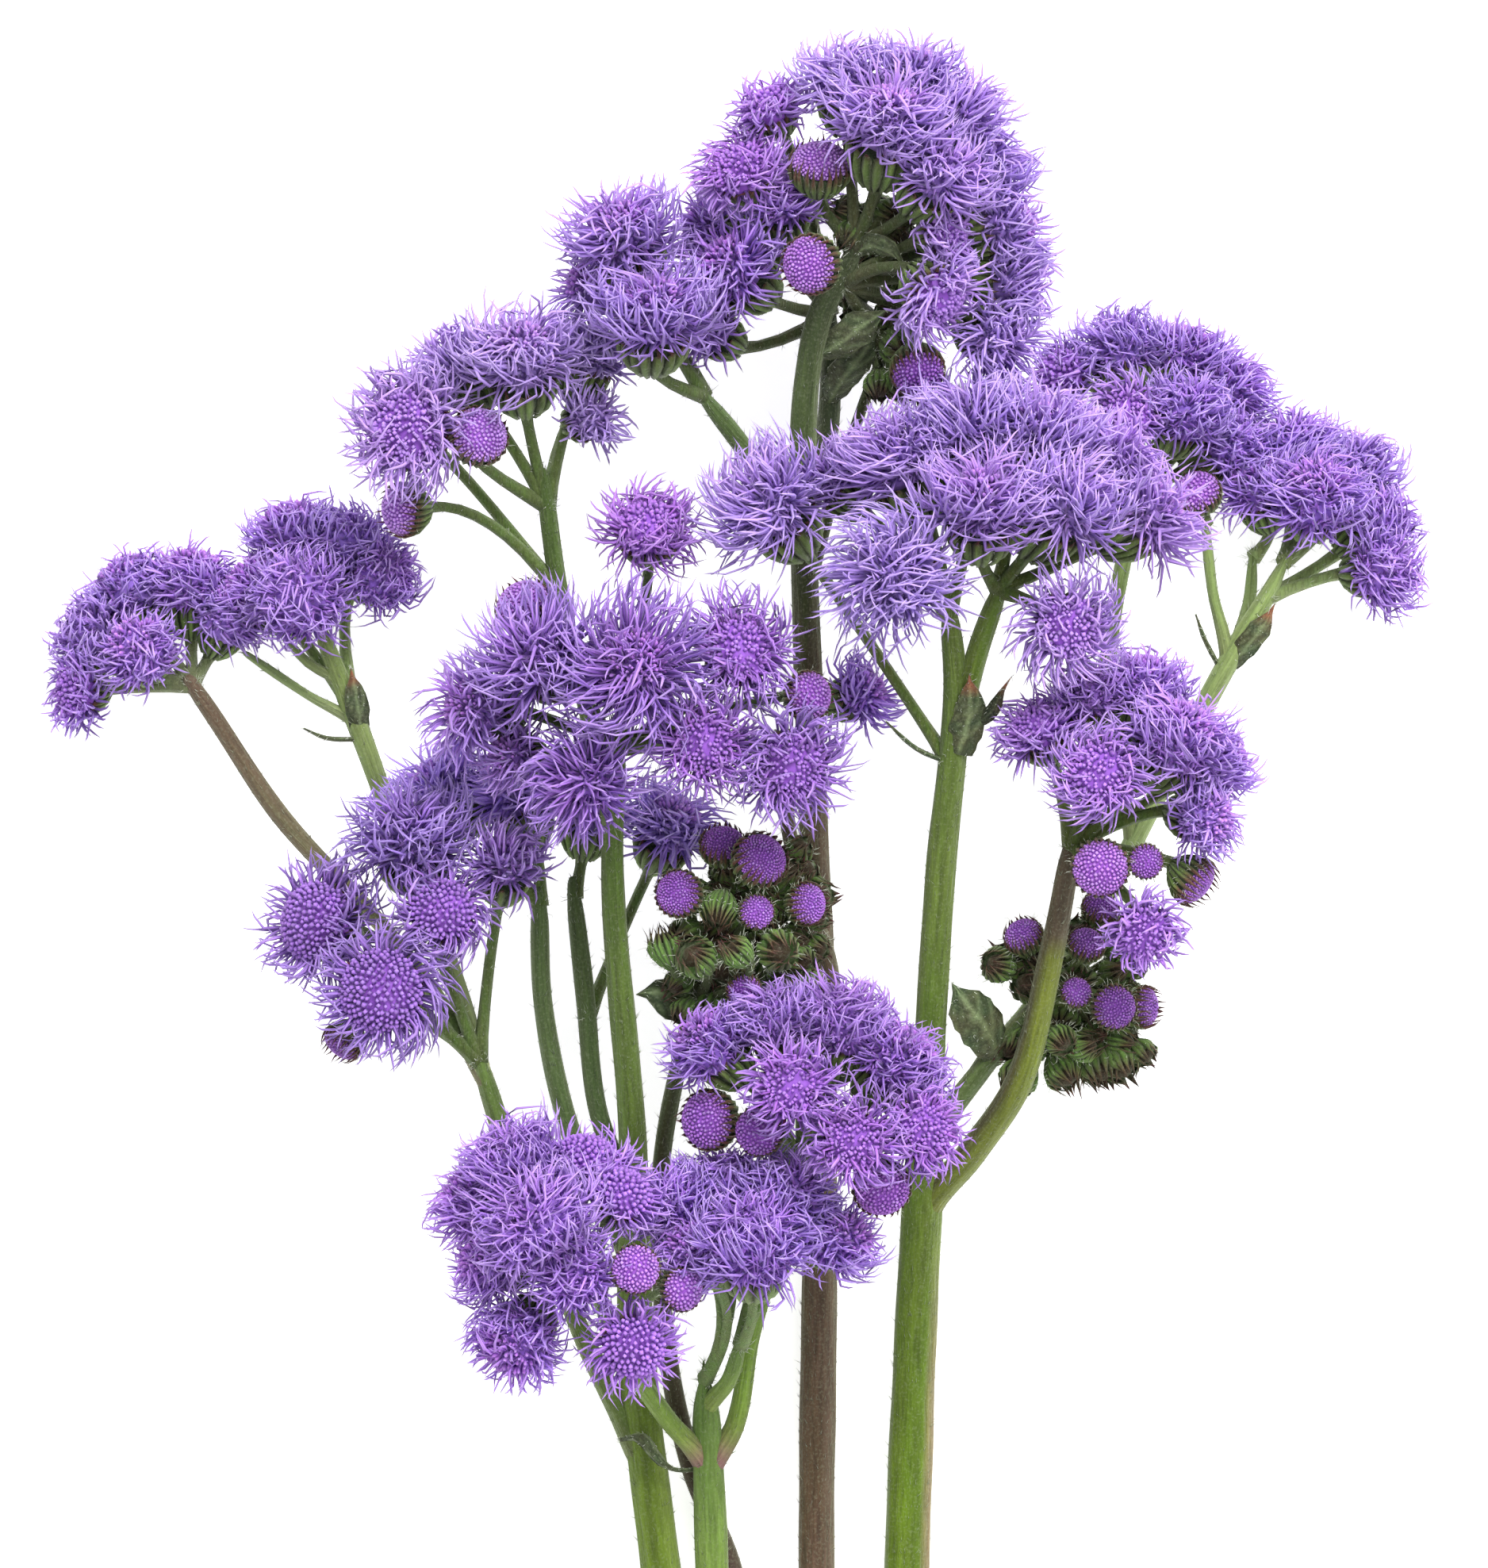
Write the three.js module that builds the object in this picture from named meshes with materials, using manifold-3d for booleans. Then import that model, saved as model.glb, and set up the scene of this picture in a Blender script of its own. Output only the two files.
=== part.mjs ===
// A cut bunch of ageratum (floss flower), lying on a surface: millimetres, +Z up, flower heads towards +Y.
// Five cut stems branch into shoots. Each shoot ends in a fork that carries a spray of fluffy heads or buds.
import * as THREE from 'three';
import Module from 'manifold-3d';

const wasm = await Module();
wasm.setup();
const { Manifold, Mesh } = wasm;

// ---- driving dimensions ----
const GAP = 0.3; // clear space between pieces that touch
const STEM_SIDES = 5, STALK_SIDES = 4;
const THIN_SHOOT = 1; // shoots thinner than this have a stalk's sides
const STALK_RADIUS = 0.42; // a flower's own stalk
const LONG_STALK = 12; // stalks longer than this bend
const BLADE_THICKNESS = 0.8; // leaves and bracts
const LARGE_HEAD = 5.85; // heads wider than this have more threads
const SIMPLE = 0.12; // edges shorter than this, left by joins and cuts, are taken out
const SIMPLE_FLORETS = 0.6; // the same among one spray's own florets
const SCRAP_VOLUME = 12; // mm3, smaller offcuts of a spray are dropped
const ORIGIN = [-0.7, 60.2, 0]; // the bunch's foot point: middle of its outline, on the surface

// Heads by kind: florets reach the head's radius R; everything else is a share of R.
// flat: height of the dome against its width; core: where threads rise from; floor: underside of the dome;
// rim and deep: radius of the green cup's mouth, and how far its base lies behind the dome's centre.
const KINDS = {
  o: { flat: 1, core: 0.8, floor: -0.3, rim: 0.52, deep: 1.05 }, // open: a full ball of threads
  h: { flat: 0.7, core: 0.8, floor: -0.12, rim: 0.58, deep: 0.8 }, // half open: beads in the middle, threads round them
  d: { flat: 0.6, core: 0.86, floor: -0.05, rim: 0.9, deep: 1.25 }, // just opening: a disc of beads
  b: { flat: 0.5, core: 1, floor: 0, rim: 1, deep: 1.3 }, // coloured bud, one piece with its cup
  g: { flat: 0.9, core: 1, floor: 0, rim: 1, deep: 1.3 }, // green bud, one piece with its cup
};

// Kinds that are one piece with their cup, and the radius of their top as a share of R.
const ONE_PIECE = { d: 0.6, b: 0.62, g: 0.22 };

// ---- layout: points [x, y, z, radius] of each shoot, from its root to its tip ----
const STEMS = {
  'stem_left': {
    'trunk': [[-5, -24, 2, 2], [-8, 0, 3.6, 1.95], [-10.2, 20, 8.5, 1.75], [-10.5, 40, 16.5, 1.35], [-12.4, 66, 25.2, 1.1], [-12, 78, 28, 1]],
    'left_shoot': [[-10.3, 9.5, 5.6, 1.1], [-15, 21, 8.5, 0.95], [-18.2, 29, 12, 0.9], [-23, 41.6, 18.2, 0.95], [-25, 48, 20.6, 0.9]],
    'far_left_shoot': [[-24.6, 46.3, 19.8, 0.8], [-28.8, 53.4, 13.4, 0.8], [-34.2, 60.4, 8.6, 0.8], [-44, 71, 6.8, 0.9], [-50.7, 81, 8.4, 0.85], [-52.6, 83.8, 9, 0.8]],
    'second_left_shoot': [[-24.8, 47.4, 20, 0.75], [-27.4, 56, 13.2, 0.75], [-31.7, 66, 9, 0.8], [-36.4, 79, 9.4, 1], [-40.5, 89.6, 11, 0.75]],
    'back_shoot': [[-10.4, 28, 11.4, 1.05], [-16.4, 41, 12.6, 1], [-19, 53, 14.5, 0.9], [-19.4, 63.5, 16.4, 0.9]],
    'back_shoot_right': [[-10.4, 32.8, 13, 1], [-13.9, 43.6, 14.4, 0.9], [-15, 54, 15.2, 0.9], [-16.2, 64.6, 16.6, 0.8]],
    'hidden_shoot': [[-12.4, 65.8, 25, 0.8], [-13.2, 73.3, 20, 0.75], [-15, 81.5, 15, 0.8], [-17.2, 90.5, 13.4, 0.9], [-19, 103.3, 16.4, 0.8]],
  },
  'stem_front': {
    'trunk': [[-2.6, -22, 3.8, 1.6], [-3.1, 0, 5.2, 1.6], [-3.6, 14, 9, 1.3], [-3.8, 18.5, 11.5, 1.05]],
    'left_shoot': [[-4, 9.4, 7.4, 1], [-7.2, 13.7, 11.2, 0.9], [-11.4, 20.2, 16.6, 0.85], [-14.2, 27, 21, 0.8]],
    'right_shoot': [[-2.7, 8.8, 7.2, 1], [-0.9, 13, 8.4, 0.95], [0.8, 22, 11.6, 0.85], [5.4, 37.4, 19, 0.8]],
    'middle_shoot': [[-3.3, 14.4, 9.6, 0.75], [-1.4, 17.6, 13.4, 0.75], [-0.2, 21.5, 17, 0.75]],
  },
  'stem_buds': {
    'trunk': [[1.6, -21, 0.9, 1], [-1, -1.3, 1.2, 1], [-5, 9, 2.4, 1], [-7.4, 21, 6, 0.9], [-7.9, 37.3, 12, 0.85], [-4.8, 54, 20, 0.75]],
  },
  'stem_tall': {
    'trunk': [[7.4, -23, 1.5, 1.75], [6.9, 0, 2.1, 1.75], [7.2, 30, 4.8, 1.65], [7.2, 51.5, 8, 1.55], [6.2, 81, 12, 1.35], [5.8, 93, 14.5, 1.3], [5.5, 103.3, 18, 1.2]],
    'crown_shoot': [[5.5, 102.5, 17.8, 1.2], [6, 113, 21.6, 1.2], [7.4, 119, 24, 1.25], [9.8, 123, 25.4, 1.05], [10.7, 125.2, 26.2, 0.8]],
    'second_shoot': [[5.6, 99.5, 16.6, 1], [7.8, 107, 15.4, 1.05], [8.2, 119, 15, 0.8]],
    'left_shoot': [[5.5, 96.5, 15.6, 0.9], [0.6, 105, 17, 0.9], [-4, 111, 19.4, 0.8]],
    'low_shoot': [[7.3, 50, 7.8, 1.1], [8, 55.6, 10, 1.1], [5, 66, 14.4, 0.75], [4, 73.3, 16.4, 0.7], [5.4, 78, 17.6, 0.65]],
  },
  'stem_right': {
    'trunk': [[15, -23.5, 1.85, 2.15], [15.5, 0, 2.8, 2.1], [16.4, 24, 7, 2.05], [17, 36, 10.8, 1.85], [17.4, 46, 15, 1.6], [18.6, 66, 21.6, 1.4], [20, 82.3, 26, 1.25], [19.3, 91, 28.4, 0.9]],
    'right_trunk': [[19.9, 77.2, 24.8, 1.05], [22, 86.4, 27.4, 1.05], [24.3, 93, 29.4, 0.9]],
    'right_shoot': [[17.4, 33.5, 9.8, 1.35], [21.6, 39.2, 14.2, 1.4], [26, 46, 19.6, 1.3], [29, 58, 24.8, 1.2], [31, 68.8, 27.2, 1]],
    'bud_shoot': [[17.6, 39.5, 12.2, 1.05], [22.8, 47.4, 14.2, 1], [28, 53.6, 16.4, 0.75]],
    'far_right_shoot': [[22.3, 46.9, 13.8, 0.9], [28, 53.8, 9.4, 0.9], [34, 63, 6.8, 0.95], [40.3, 75, 7, 1], [47.4, 88.2, 9, 0.95], [49.8, 92.2, 9.2, 0.8], [51.4, 95.4, 9, 0.65]],
    'outer_stalk': [[45.6, 85.2, 8.6, 0.6], [44.5, 92.6, 9.6, 0.5], [43.8, 98.9, 10.1, 0.55]],
    'inner_stalk': [[46.2, 86.2, 8.8, 0.6], [48, 91.2, 7.2, 0.6], [48.4, 96, 6.6, 0.58]],
    'second_right_shoot': [[36.7, 68.6, 6.8, 0.7], [34.5, 78.5, 7, 0.75], [34.8, 87.5, 8, 0.8], [37.4, 102, 10, 0.75]],
  },
};

// Sprays, front ones first. Forks are where stalks leave the stem; a head faces away from 'aim', unless it
// states its own facing. Heads: [kind, x, y, z, R, fork, facing].
const SPRAYS = {
  'lower_left': { 'stem': 'stem_front', 'aim': [-16, 28, 24], 'forks': {'end': [-14, 26.4, 20.6], 'low': [-11.4, 20.4, 16.6]}, 'heads': [
    ['o', -21.5, 38, 30, 5.2, 'end'], ['h', -15, 38.5, 29, 4.5, 'end'], ['o', -25, 34.5, 27, 4.7, 'end'], ['o', -19, 32.5, 35.5, 6, 'end'],
    ['h', -11.5, 35.3, 32, 4.2, 'end'], ['o', -16, 28, 34, 4.5, 'end'], ['o', -23.5, 28.8, 28.5, 4.2, 'end'], ['o', -21, 22, 30, 4.8, 'end', [-0.35, -0.65, 0.65]],
    ['h', -10.5, 21.3, 32, 4.5, 'low', [0.1, -0.3, 0.95]], ['d', -10.2, 28.5, 35, 2.4, 'end', [0.1, 0, 1]],
    ['d', -5.8, 26.5, 32, 2.1, 'low', [0.4, 0, 0.9]]] },
  'lower_middle': { 'stem': 'stem_front', 'aim': [-0.5, 24, 21], 'forks': {'left': [-3.7, 17.6, 11.2], 'right': [-0.3, 21, 16.4]}, 'heads': [
    ['o', -6.3, 34, 26, 4.6, 'left'], ['o', -1.7, 35.6, 25, 4.6, 'left'], ['o', 4, 35, 28, 4.8, 'right'], ['o', 0.9, 30.4, 32, 6, 'right', [0, 0.65, 0.75]],
    ['o', 8.8, 30.8, 27, 4.2, 'right', [0.55, 0.1, 0.8]], ['o', -4.4, 29.6, 29.5, 4.2, 'left']] },
  'middle_low': { 'stem': 'stem_front', 'aim': [7, 40, 23], 'forks': {'end': [5.3, 36.8, 18.6]}, 'heads': [
    ['o', -3, 49, 28, 4.5, 'end'], ['o', 2.8, 51.5, 28, 4.6, 'end'], ['o', 9.2, 51, 28, 5.2, 'end'], ['o', 14.4, 47.5, 29, 5.1, 'end'],
    ['h', 4.6, 45.5, 34, 4.6, 'end', [-0.1, 0.1, 1]], ['h', 10.3, 40.6, 36, 4.5, 'end', [0, 0, 1]], ['h', 16.6, 41.6, 33, 4.5, 'end', [0.4, 0, 0.9]],
    ['d', -3.4, 42.4, 27, 2.9, 'end', [-0.5, -0.05, 0.87]], ['d', 1.4, 41.4, 30, 2.4, 'end', [-0.3, -0.1, 0.95]], ['d', 13, 36, 31.5, 2.8, 'end', [0.1, -0.4, 0.9]]] },
  'middle': { 'stem': 'stem_left', 'aim': [-11, 77, 18], 'forks': {'top': [-12.1, 77.4, 28], 'low': [-12.6, 70.4, 26.7]}, 'heads': [
    ['o', -10.3, 84.4, 38, 7, 'top', [0, 0.05, 1]], ['o', -19, 85.6, 35, 6, 'top', [-0.4, 0.25, 0.88]], ['o', -25, 81, 31, 5, 'top', [-0.75, 0, 0.65]],
    ['d', -20.8, 91, 30, 2.8, 'top', [-0.35, 0.6, 0.7]], ['h', -0.5, 86.6, 35, 5.1, 'top', [0.15, 0.35, 0.93]],
    ['d', 6.1, 82.4, 33, 2.4, 'top', [0.5, 0, 0.87]], ['h', 4.3, 76, 35, 5.1, 'top', [0.25, -0.25, 0.93]], ['h', -3.8, 78, 37.5, 4.6, 'top', [0.05, -0.2, 0.98]],
    ['o', -14.8, 74.6, 37, 5.3, 'low', [-0.1, -0.35, 0.93]], ['o', -21.6, 76.8, 30, 3.6, 'top']] },
  'middle_top': { 'stem': 'stem_left', 'aim': [-10, 80, 16], 'forks': {'top': [-12.1, 78, 28]}, 'heads': [['h', -9, 98, 29, 4.8, 'top', [0, 0.6, 0.75]]] },
  'right_middle': { 'stem': 'stem_right', 'aim': [34.5, 70.5, 26], 'forks': {'end': [30.8, 68.2, 27.1]}, 'heads': [
    ['h', 27.8, 79, 30, 4.3, 'end', [-0.35, 0.7, 0.6]], ['o', 32.5, 82, 29, 4.2, 'end'], ['o', 37.6, 82.6, 28, 4.9, 'end'], ['o', 40.6, 78, 33, 5.5, 'end'],
    ['h', 33.5, 75, 35.5, 4.7, 'end', [-0.05, 0.1, 1]], ['o', 44.2, 76, 27, 4.3, 'end'], ['o', 43, 70.8, 31, 4, 'end', [0.65, -0.2, 0.7]],
    ['d', 33.5, 66.2, 34, 2.8, 'end', [0, -0.1, 1]], ['h', 37.6, 60.4, 33, 3.9, 'end', [0.05, -0.45, 0.9]], ['b', 37.8, 66.8, 32, 1.7, 'end', [0.1, -0.1, 1]],
    ['b', 42.6, 64.8, 29, 2.4, 'end', [0.75, -0.6, 0.35]]] },
  'centre': { 'stem': 'stem_right', 'aim': [22, 90, 27], 'forks': {'low': [19.2, 76.4, 24.6], 'mid': [19.3, 90, 28.2], 'right': [23.9, 92.4, 29.2]}, 'heads': [
    ['o', 2.8, 100, 31, 6.1, 'low', [-0.45, 0.6, 0.65]], ['o', 8.4, 102.4, 27, 4, 'mid'], ['o', 14.6, 104, 31, 5.8, 'mid'], ['o', 21, 107, 30, 6, 'mid'],
    ['o', 28, 106.4, 30, 6, 'right'], ['o', 22.4, 100, 37, 6, 'right'], ['o', 30, 100, 35, 6, 'right'], ['o', 34.4, 104.6, 28, 4.7, 'right'],
    ['o', 38, 99.2, 30, 5.4, 'right'], ['o', 14.4, 93.4, 38, 6.3, 'mid', [-0.15, -0.1, 1]], ['h', 30.3, 89, 36.5, 4.8, 'right', [0.15, -0.25, 0.96]]] },
  'crown': { 'stem': 'stem_tall', 'aim': [11, 123, 23], 'forks': {'top': [10.5, 124.8, 26], 'low': [9.3, 121.4, 25]}, 'heads': [
    ['o', 13.6, 136, 32, 6.3, 'top'], ['o', 9.4, 140, 27, 4.7, 'top'], ['o', 16, 140.6, 26, 4.7, 'top'], ['o', 20.4, 137, 27, 4.7, 'top'],
    ['o', 22.6, 132, 26, 4.8, 'top'], ['o', 18.4, 131, 32.5, 5.1, 'top'], ['o', 24.4, 126.6, 26, 4.7, 'low'], ['o', 25, 121.4, 25, 4.4, 'low'],
    ['o', 23.6, 116, 26, 4.7, 'low', [0.6, -0.35, 0.7]], ['h', 18.8, 126, 30, 3.6, 'low', [0.75, 0.2, 0.6]], ['h', 18, 120.2, 31, 4.7, 'low', [0.6, -0.65, 0.45]],
    ['d', 7.2, 132.6, 27, 3, 'top', [0.05, 0.75, 0.6]]] },
  'crown_left': { 'stem': 'stem_tall', 'aim': [7, 119, 14], 'forks': {'low': [6.4, 115.8, 22.6], 'rear': [8.2, 118.6, 15]}, 'heads': [
    ['h', 0, 132, 25, 4.6, 'rear', [-0.35, 0.6, 0.7]], ['h', 2.6, 137.8, 24, 3.8, 'rear', [-0.35, 0.75, 0.55]], ['o', 3.8, 128.6, 23.6, 4, 'rear', [-0.1, 0.6, 0.7]],
    ['o', -0.8, 122.6, 23, 5.4, 'rear', [-0.55, 0.45, 0.65]], ['d', 6.2, 123, 31, 2.9, 'low', [-0.45, -0.1, 0.85]], ['o', -3.2, 117, 19, 4, 'rear', [-0.6, 0.35, 0.6]],
    ['o', -3, 126.4, 17.4, 4.4, 'rear', [-0.7, 0.2, -0.3]], ['o', 0.6, 129.2, 10, 4.6, 'rear', [-0.4, 0.5, -0.5]], ['o', 5, 130.6, 3.3, 4.8, 'rear', [-0.1, 0.5, -0.8]]] },
  'nodding': { 'stem': 'stem_tall', 'aim': [14, 106, 18], 'forks': {'only': [5.9, 92, 14.3]}, 'heads': [['d', 16.4, 113, 27, 2.6, 'only', [0.15, -0.6, 0.75]]] },
  'upper_left': { 'stem': 'stem_left', 'aim': [-19, 103, 16], 'forks': {'base': [-17.6, 92.4, 13.7], 'main': [-18.6, 100.4, 15.5]}, 'heads': [
    ['h', -31.5, 107.6, 24, 6.1, 'base', [-0.3, 0.2, 0.9]], ['d', -25, 107, 25, 2.9, 'main', [0.3, 0.3, 0.9]], ['d', -32.4, 100, 21, 2.6, 'base', [-0.8, -0.1, 0.6]],
    ['o', -27.4, 113.4, 19, 4.6, 'main'], ['o', -21, 114, 24, 6, 'main', [-0.05, 0.7, 0.7]], ['o', -14.6, 108.6, 19, 3.6, 'main', [0.5, 0.1, 0.8]],
    ['o', -14.6, 114.4, 18, 4.4, 'main']] },
  'upper_middle': { 'stem': 'stem_tall', 'aim': [-6.6, 112.3, 12], 'forks': {'end': [-3.7, 110.8, 19.2]}, 'heads': [
    ['o', -11.4, 125.4, 24, 6, 'end', [-0.3, 0.75, 0.55]], ['o', -14.4, 121, 20, 3.8, 'end', [-0.7, 0.2, 0.6]], ['o', -8.4, 118, 28, 6.3, 'end', [0.05, 0.68, 0.73]]] },
  'left_front': { 'stem': 'stem_left', 'aim': [-27, 49, 14], 'forks': {'end': [-25, 47.8, 20.5]}, 'heads': [
    ['o', -31.3, 68.4, 26, 6.2, 'end', [-0.1, 0.6, 0.8]], ['h', -40, 61, 24, 5.8, 'end', [-0.6, 0.1, 0.8]], ['h', -34, 54.6, 31, 6, 'end', [-0.1, -0.05, 1]],
    ['h', -28.4, 62, 29.5, 4.6, 'end', [0.1, 0.3, 0.95]], ['o', -22.4, 66.4, 27, 4.4, 'end', [0.15, 0.7, 0.7]],
    ['b', -38, 49.6, 23, 2, 'end', [-0.6, -0.7, 0.4]]] },
  'middle_back': { 'stem': 'stem_left', 'aim': [-16.5, 60, 13], 'forks': {'left': [-19.3, 62.6, 16.2], 'right': [-16, 63.4, 16.4], 'fork': [-14.8, 52, 15]}, 'heads': [
    ['o', -28.4, 73.6, 15, 5, 'left'], ['o', -21.6, 73, 18, 5.1, 'left'], ['o', -14.6, 71.6, 18.4, 4.7, 'right'], ['o', -7, 69.8, 17.6, 5, 'fork', [0.3, 0.6, 0.6]]] },
  'stray': { 'stem': 'stem_tall', 'aim': [5.5, 77.8, 16], 'forks': {'only': [5.2, 77.4, 17.4]}, 'heads': [['o', 11, 82.4, 20, 3.8, 'only', [0.8, 0.2, 0.5]]] },
  'right': { 'stem': 'stem_right', 'aim': [52, 92.5, 3], 'forks': {'low': [48.4, 95.6, 6.7], 'mid': [49.6, 91.8, 9.2], 'end': [51.3, 95.2, 9]}, 'heads': [
    ['o', 52.4, 105.2, 5.2, 5, 'end'], ['o', 54.2, 101, 11.5, 5.3, 'end', [0.1, 0.5, 0.85]], ['o', 58.2, 103.6, 3.2, 4.7, 'end'], ['o', 60, 98.8, 5.6, 4.3, 'mid'],
    ['o', 60.4, 94.2, 10, 4.3, 'mid', [0.7, 0, 0.7]], ['o', 48.8, 102, 8, 4.2, 'low']] },
  'far_right': { 'stem': 'stem_right', 'aim': [38.4, 102, 6], 'forks': {'end': [37.3, 101.6, 9.9], 'stalk': [43.8, 98.8, 10.1]}, 'heads': [
    ['h', 30.4, 113, 9.4, 3.8, 'end', [-0.6, 0.2, 0.75]], ['o', 35.6, 115, 7.6, 4.7, 'end'], ['h', 36.4, 109.2, 13.4, 4, 'end', [-0.1, 0, 1]], ['o', 41.4, 114.2, 3.4, 4.8, 'end'],
    ['o', 42, 109, 12, 4.5, 'end'], ['o', 46, 111.2, 3.8, 4.6, 'end'], ['o', 45.8, 106, 8, 4.5, 'end'], ['d', 43, 101.8, 12, 2.3, 'stalk', [-0.2, 0.5, 0.8]]] },
  'left': { 'stem': 'stem_left', 'aim': [-40.4, 86.5, 6], 'forks': {'low': [-36.9, 80.6, 9.6], 'end': [-40.3, 89, 10.9]}, 'heads': [
    ['o', -46, 92, 8, 4.3, 'low'], ['o', -42.6, 97, 7, 4.8, 'end'], ['o', -42, 91.6, 13.6, 5, 'end', [-0.1, 0, 1]], ['o', -37.6, 96.4, 9, 4.4, 'end'],
    ['o', -34.6, 93.6, 11, 4, 'low', [0.45, 0.2, 0.8]]] },
  'far_left': { 'stem': 'stem_left', 'aim': [-52.6, 83, 4], 'forks': {'end': [-52.4, 83.5, 8.9]}, 'heads': [
    ['h', -63.2, 83, 6, 3.9, 'end', [-0.8, -0.05, 0.55]], ['o', -61.4, 88, 3.6, 4.5, 'end'], ['o', -58, 92, 3.2, 4.7, 'end'], ['o', -52.6, 92.6, 5.4, 4.6, 'end'],
    ['o', -57.2, 86.4, 10.4, 4.2, 'end', [-0.15, 0.4, 0.9]], ['o', -49, 89.6, 8, 3.9, 'end']] },
  'buds_left': { 'stem': 'stem_buds', 'aim': [-2.5, 53.8, 14], 'forks': {'end': [-4.9, 53.4, 19.8]}, 'heads': [
    ['b', 1.6, 67, 27, 2.7, 'end', [0.35, 0.3, 0.87]], ['b', -6.2, 63.8, 27, 2.3, 'end', [-0.3, 0.1, 0.95]], ['b', 6, 62.8, 25, 2.1, 'end', [0.6, 0.05, 0.8]],
    ['b', 1.2, 62, 28, 1.7, 'end', [0.2, 0.1, 0.97]], ['b', 0, 54.6, 26, 1.7, 'end', [0.1, -0.3, 0.93]], ['b', -2, 68.4, 23, 2.2, 'end', [0, 0.6, 0.75]],
    ['g', -4.6, 57.8, 27, 2.1, 'end'], ['g', 3.2, 58.4, 27, 2.1, 'end'], ['g', -7.4, 59, 24, 1.9, 'end'], ['g', -2.4, 62, 26.4, 1.9, 'end'],
    ['g', -0.8, 58.4, 29, 1.6, 'end'], ['g', 3.8, 55, 24, 1.6, 'end']] },
  'buds_right': { 'stem': 'stem_right', 'aim': [29, 50.8, 9], 'forks': {'end': [27.9, 53.5, 16.4]}, 'heads': [
    ['b', 35, 53, 22, 2.2, 'end', [0.25, 0, 0.97]], ['b', 26.4, 59.8, 19, 1.9, 'end', [-0.3, 0.6, 0.75]], ['b', 32.4, 59, 20.5, 1.8, 'end'],
    ['b', 33.8, 62.4, 16, 1.8, 'end', [0.2, 0.6, 0.7]], ['b', 38, 53, 17.6, 2, 'end', [0.85, 0, 0.45]], ['b', 31.4, 54.4, 22, 1.5, 'end'],
    ['g', 24, 57, 18, 1.8, 'end'], ['g', 30, 49.8, 20.6, 1.6, 'end'], ['g', 32.4, 49.4, 18.6, 1.7, 'end'], ['g', 30.4, 46.6, 16.6, 2, 'end'],
    ['g', 36, 49.6, 16.6, 1.7, 'end'], ['g', 36, 57.4, 15, 1.8, 'end']] },
};

// Leaves and bracts: points [x, y, z, half width], and how far the blade is turned about its length, in degrees.
const LEAVES = {
  'stem_front': [
    [[[-4.2, 9, 6.4, 0.45], [-6.8, 9.1, 9, 0.4], [-8.3, 10.5, 10.2, 0.85], [-9.6, 12.2, 10.6, 0.95], [-11.8, 11.8, 9.6, 0.4]], 30],
  ],
  'stem_buds': [
    [[[-5, 51.6, 18.4, 0.7], [-6.6, 53.7, 20.4, 1.7], [-8.4, 54.4, 21, 1.4], [-10.2, 54.2, 21, 0.4]], 30],
  ],
  'stem_tall': [
    [[[6.8, 114.6, 21.8, 0.6], [8.8, 115.6, 23, 1.3], [11.2, 117.4, 24.4, 1.4], [13.4, 118.8, 25, 0.5]], 10],
    [[[7.9, 110, 15.6, 0.6], [9, 112, 18.4, 1.3], [10.8, 114.4, 20.8, 1.4], [12.6, 116.8, 21.6, 0.5]], 10],
    [[[10.2, 124, 25.6, 0.5], [12, 124.9, 27.4, 1], [13.8, 124.3, 28.6, 1], [15, 123.2, 28.6, 0.4]], 10],
  ],
  'stem_right': [
    [[[24.2, 47.6, 14.4, 0.8], [23, 50.6, 17.4, 2], [21.4, 52.8, 19, 1.8], [19.7, 55.2, 19.6, 0.5]], 20],
    [[[19.3, 76.2, 24.6, 0.45], [16.4, 77.4, 26, 0.4], [13.4, 80, 26.6, 0.35]], 20],
    [[[20.2, 77, 25.8, 1.3], [21.3, 80.8, 27.6, 1.35], [21.2, 84.4, 29, 0.4]], 0],
    [[[20.8, 79.2, 25.6, 0.5], [23.4, 81, 28, 0.7], [24.4, 83, 28.2, 0.5], [25.2, 84.2, 27.8, 0.4]], 10],
    [[[46.2, 85.4, 8.8, 0.8], [48.4, 88, 10.5, 1], [49.5, 89.5, 11, 0.85], [50.4, 91.2, 11, 0.4]], 10],
    [[[45.4, 84.9, 8.4, 0.45], [43.9, 87.6, 10.2, 0.4], [42.9, 90.2, 10.8, 0.35]], 20],
  ],
  'stem_left': [
    [[[-36.4, 78.8, 9.6, 0.8], [-36.7, 81.6, 11.2, 1], [-37, 83.3, 11.7, 0.85], [-37.3, 85.1, 11.8, 0.4]], 10],
    [[[-36.4, 78.4, 9.4, 0.45], [-39.6, 78.5, 11, 0.4], [-41.8, 79.4, 11.4, 0.35]], 20],
  ],
};

const COLOURS = {
  'stem_left': 0x6f8f45, 'stem_front': 0x7fa04e, 'stem_buds': 0x6e6a48, 'stem_tall': 0x75663f, 'stem_right': 0x7da348,
};
const FLORETS = 0x8a68d8; // lavender violet

// ---- small vector help ----
const add = (a, b, k = 1) => a.map((v, i) => v + k * b[i]);
const dot = (a, b) => a[0] * b[0] + a[1] * b[1] + a[2] * b[2];
const cross = (a, b) => [a[1] * b[2] - a[2] * b[1], a[2] * b[0] - a[0] * b[2], a[0] * b[1] - a[1] * b[0]];
const size = (a) => Math.hypot(...a);
const unit = (a) => a.map((v) => v / size(a));
// A unit vector square to a.
const square = (a) => unit(cross(a, Math.abs(a[2]) < 0.9 ? [0, 0, 1] : [1, 0, 0]));
// Seeded draw from 0 to 1.
let seed = 7;
const draw = () => (seed = (seed * 16807) % 2147483647) / 2147483647;

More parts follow.
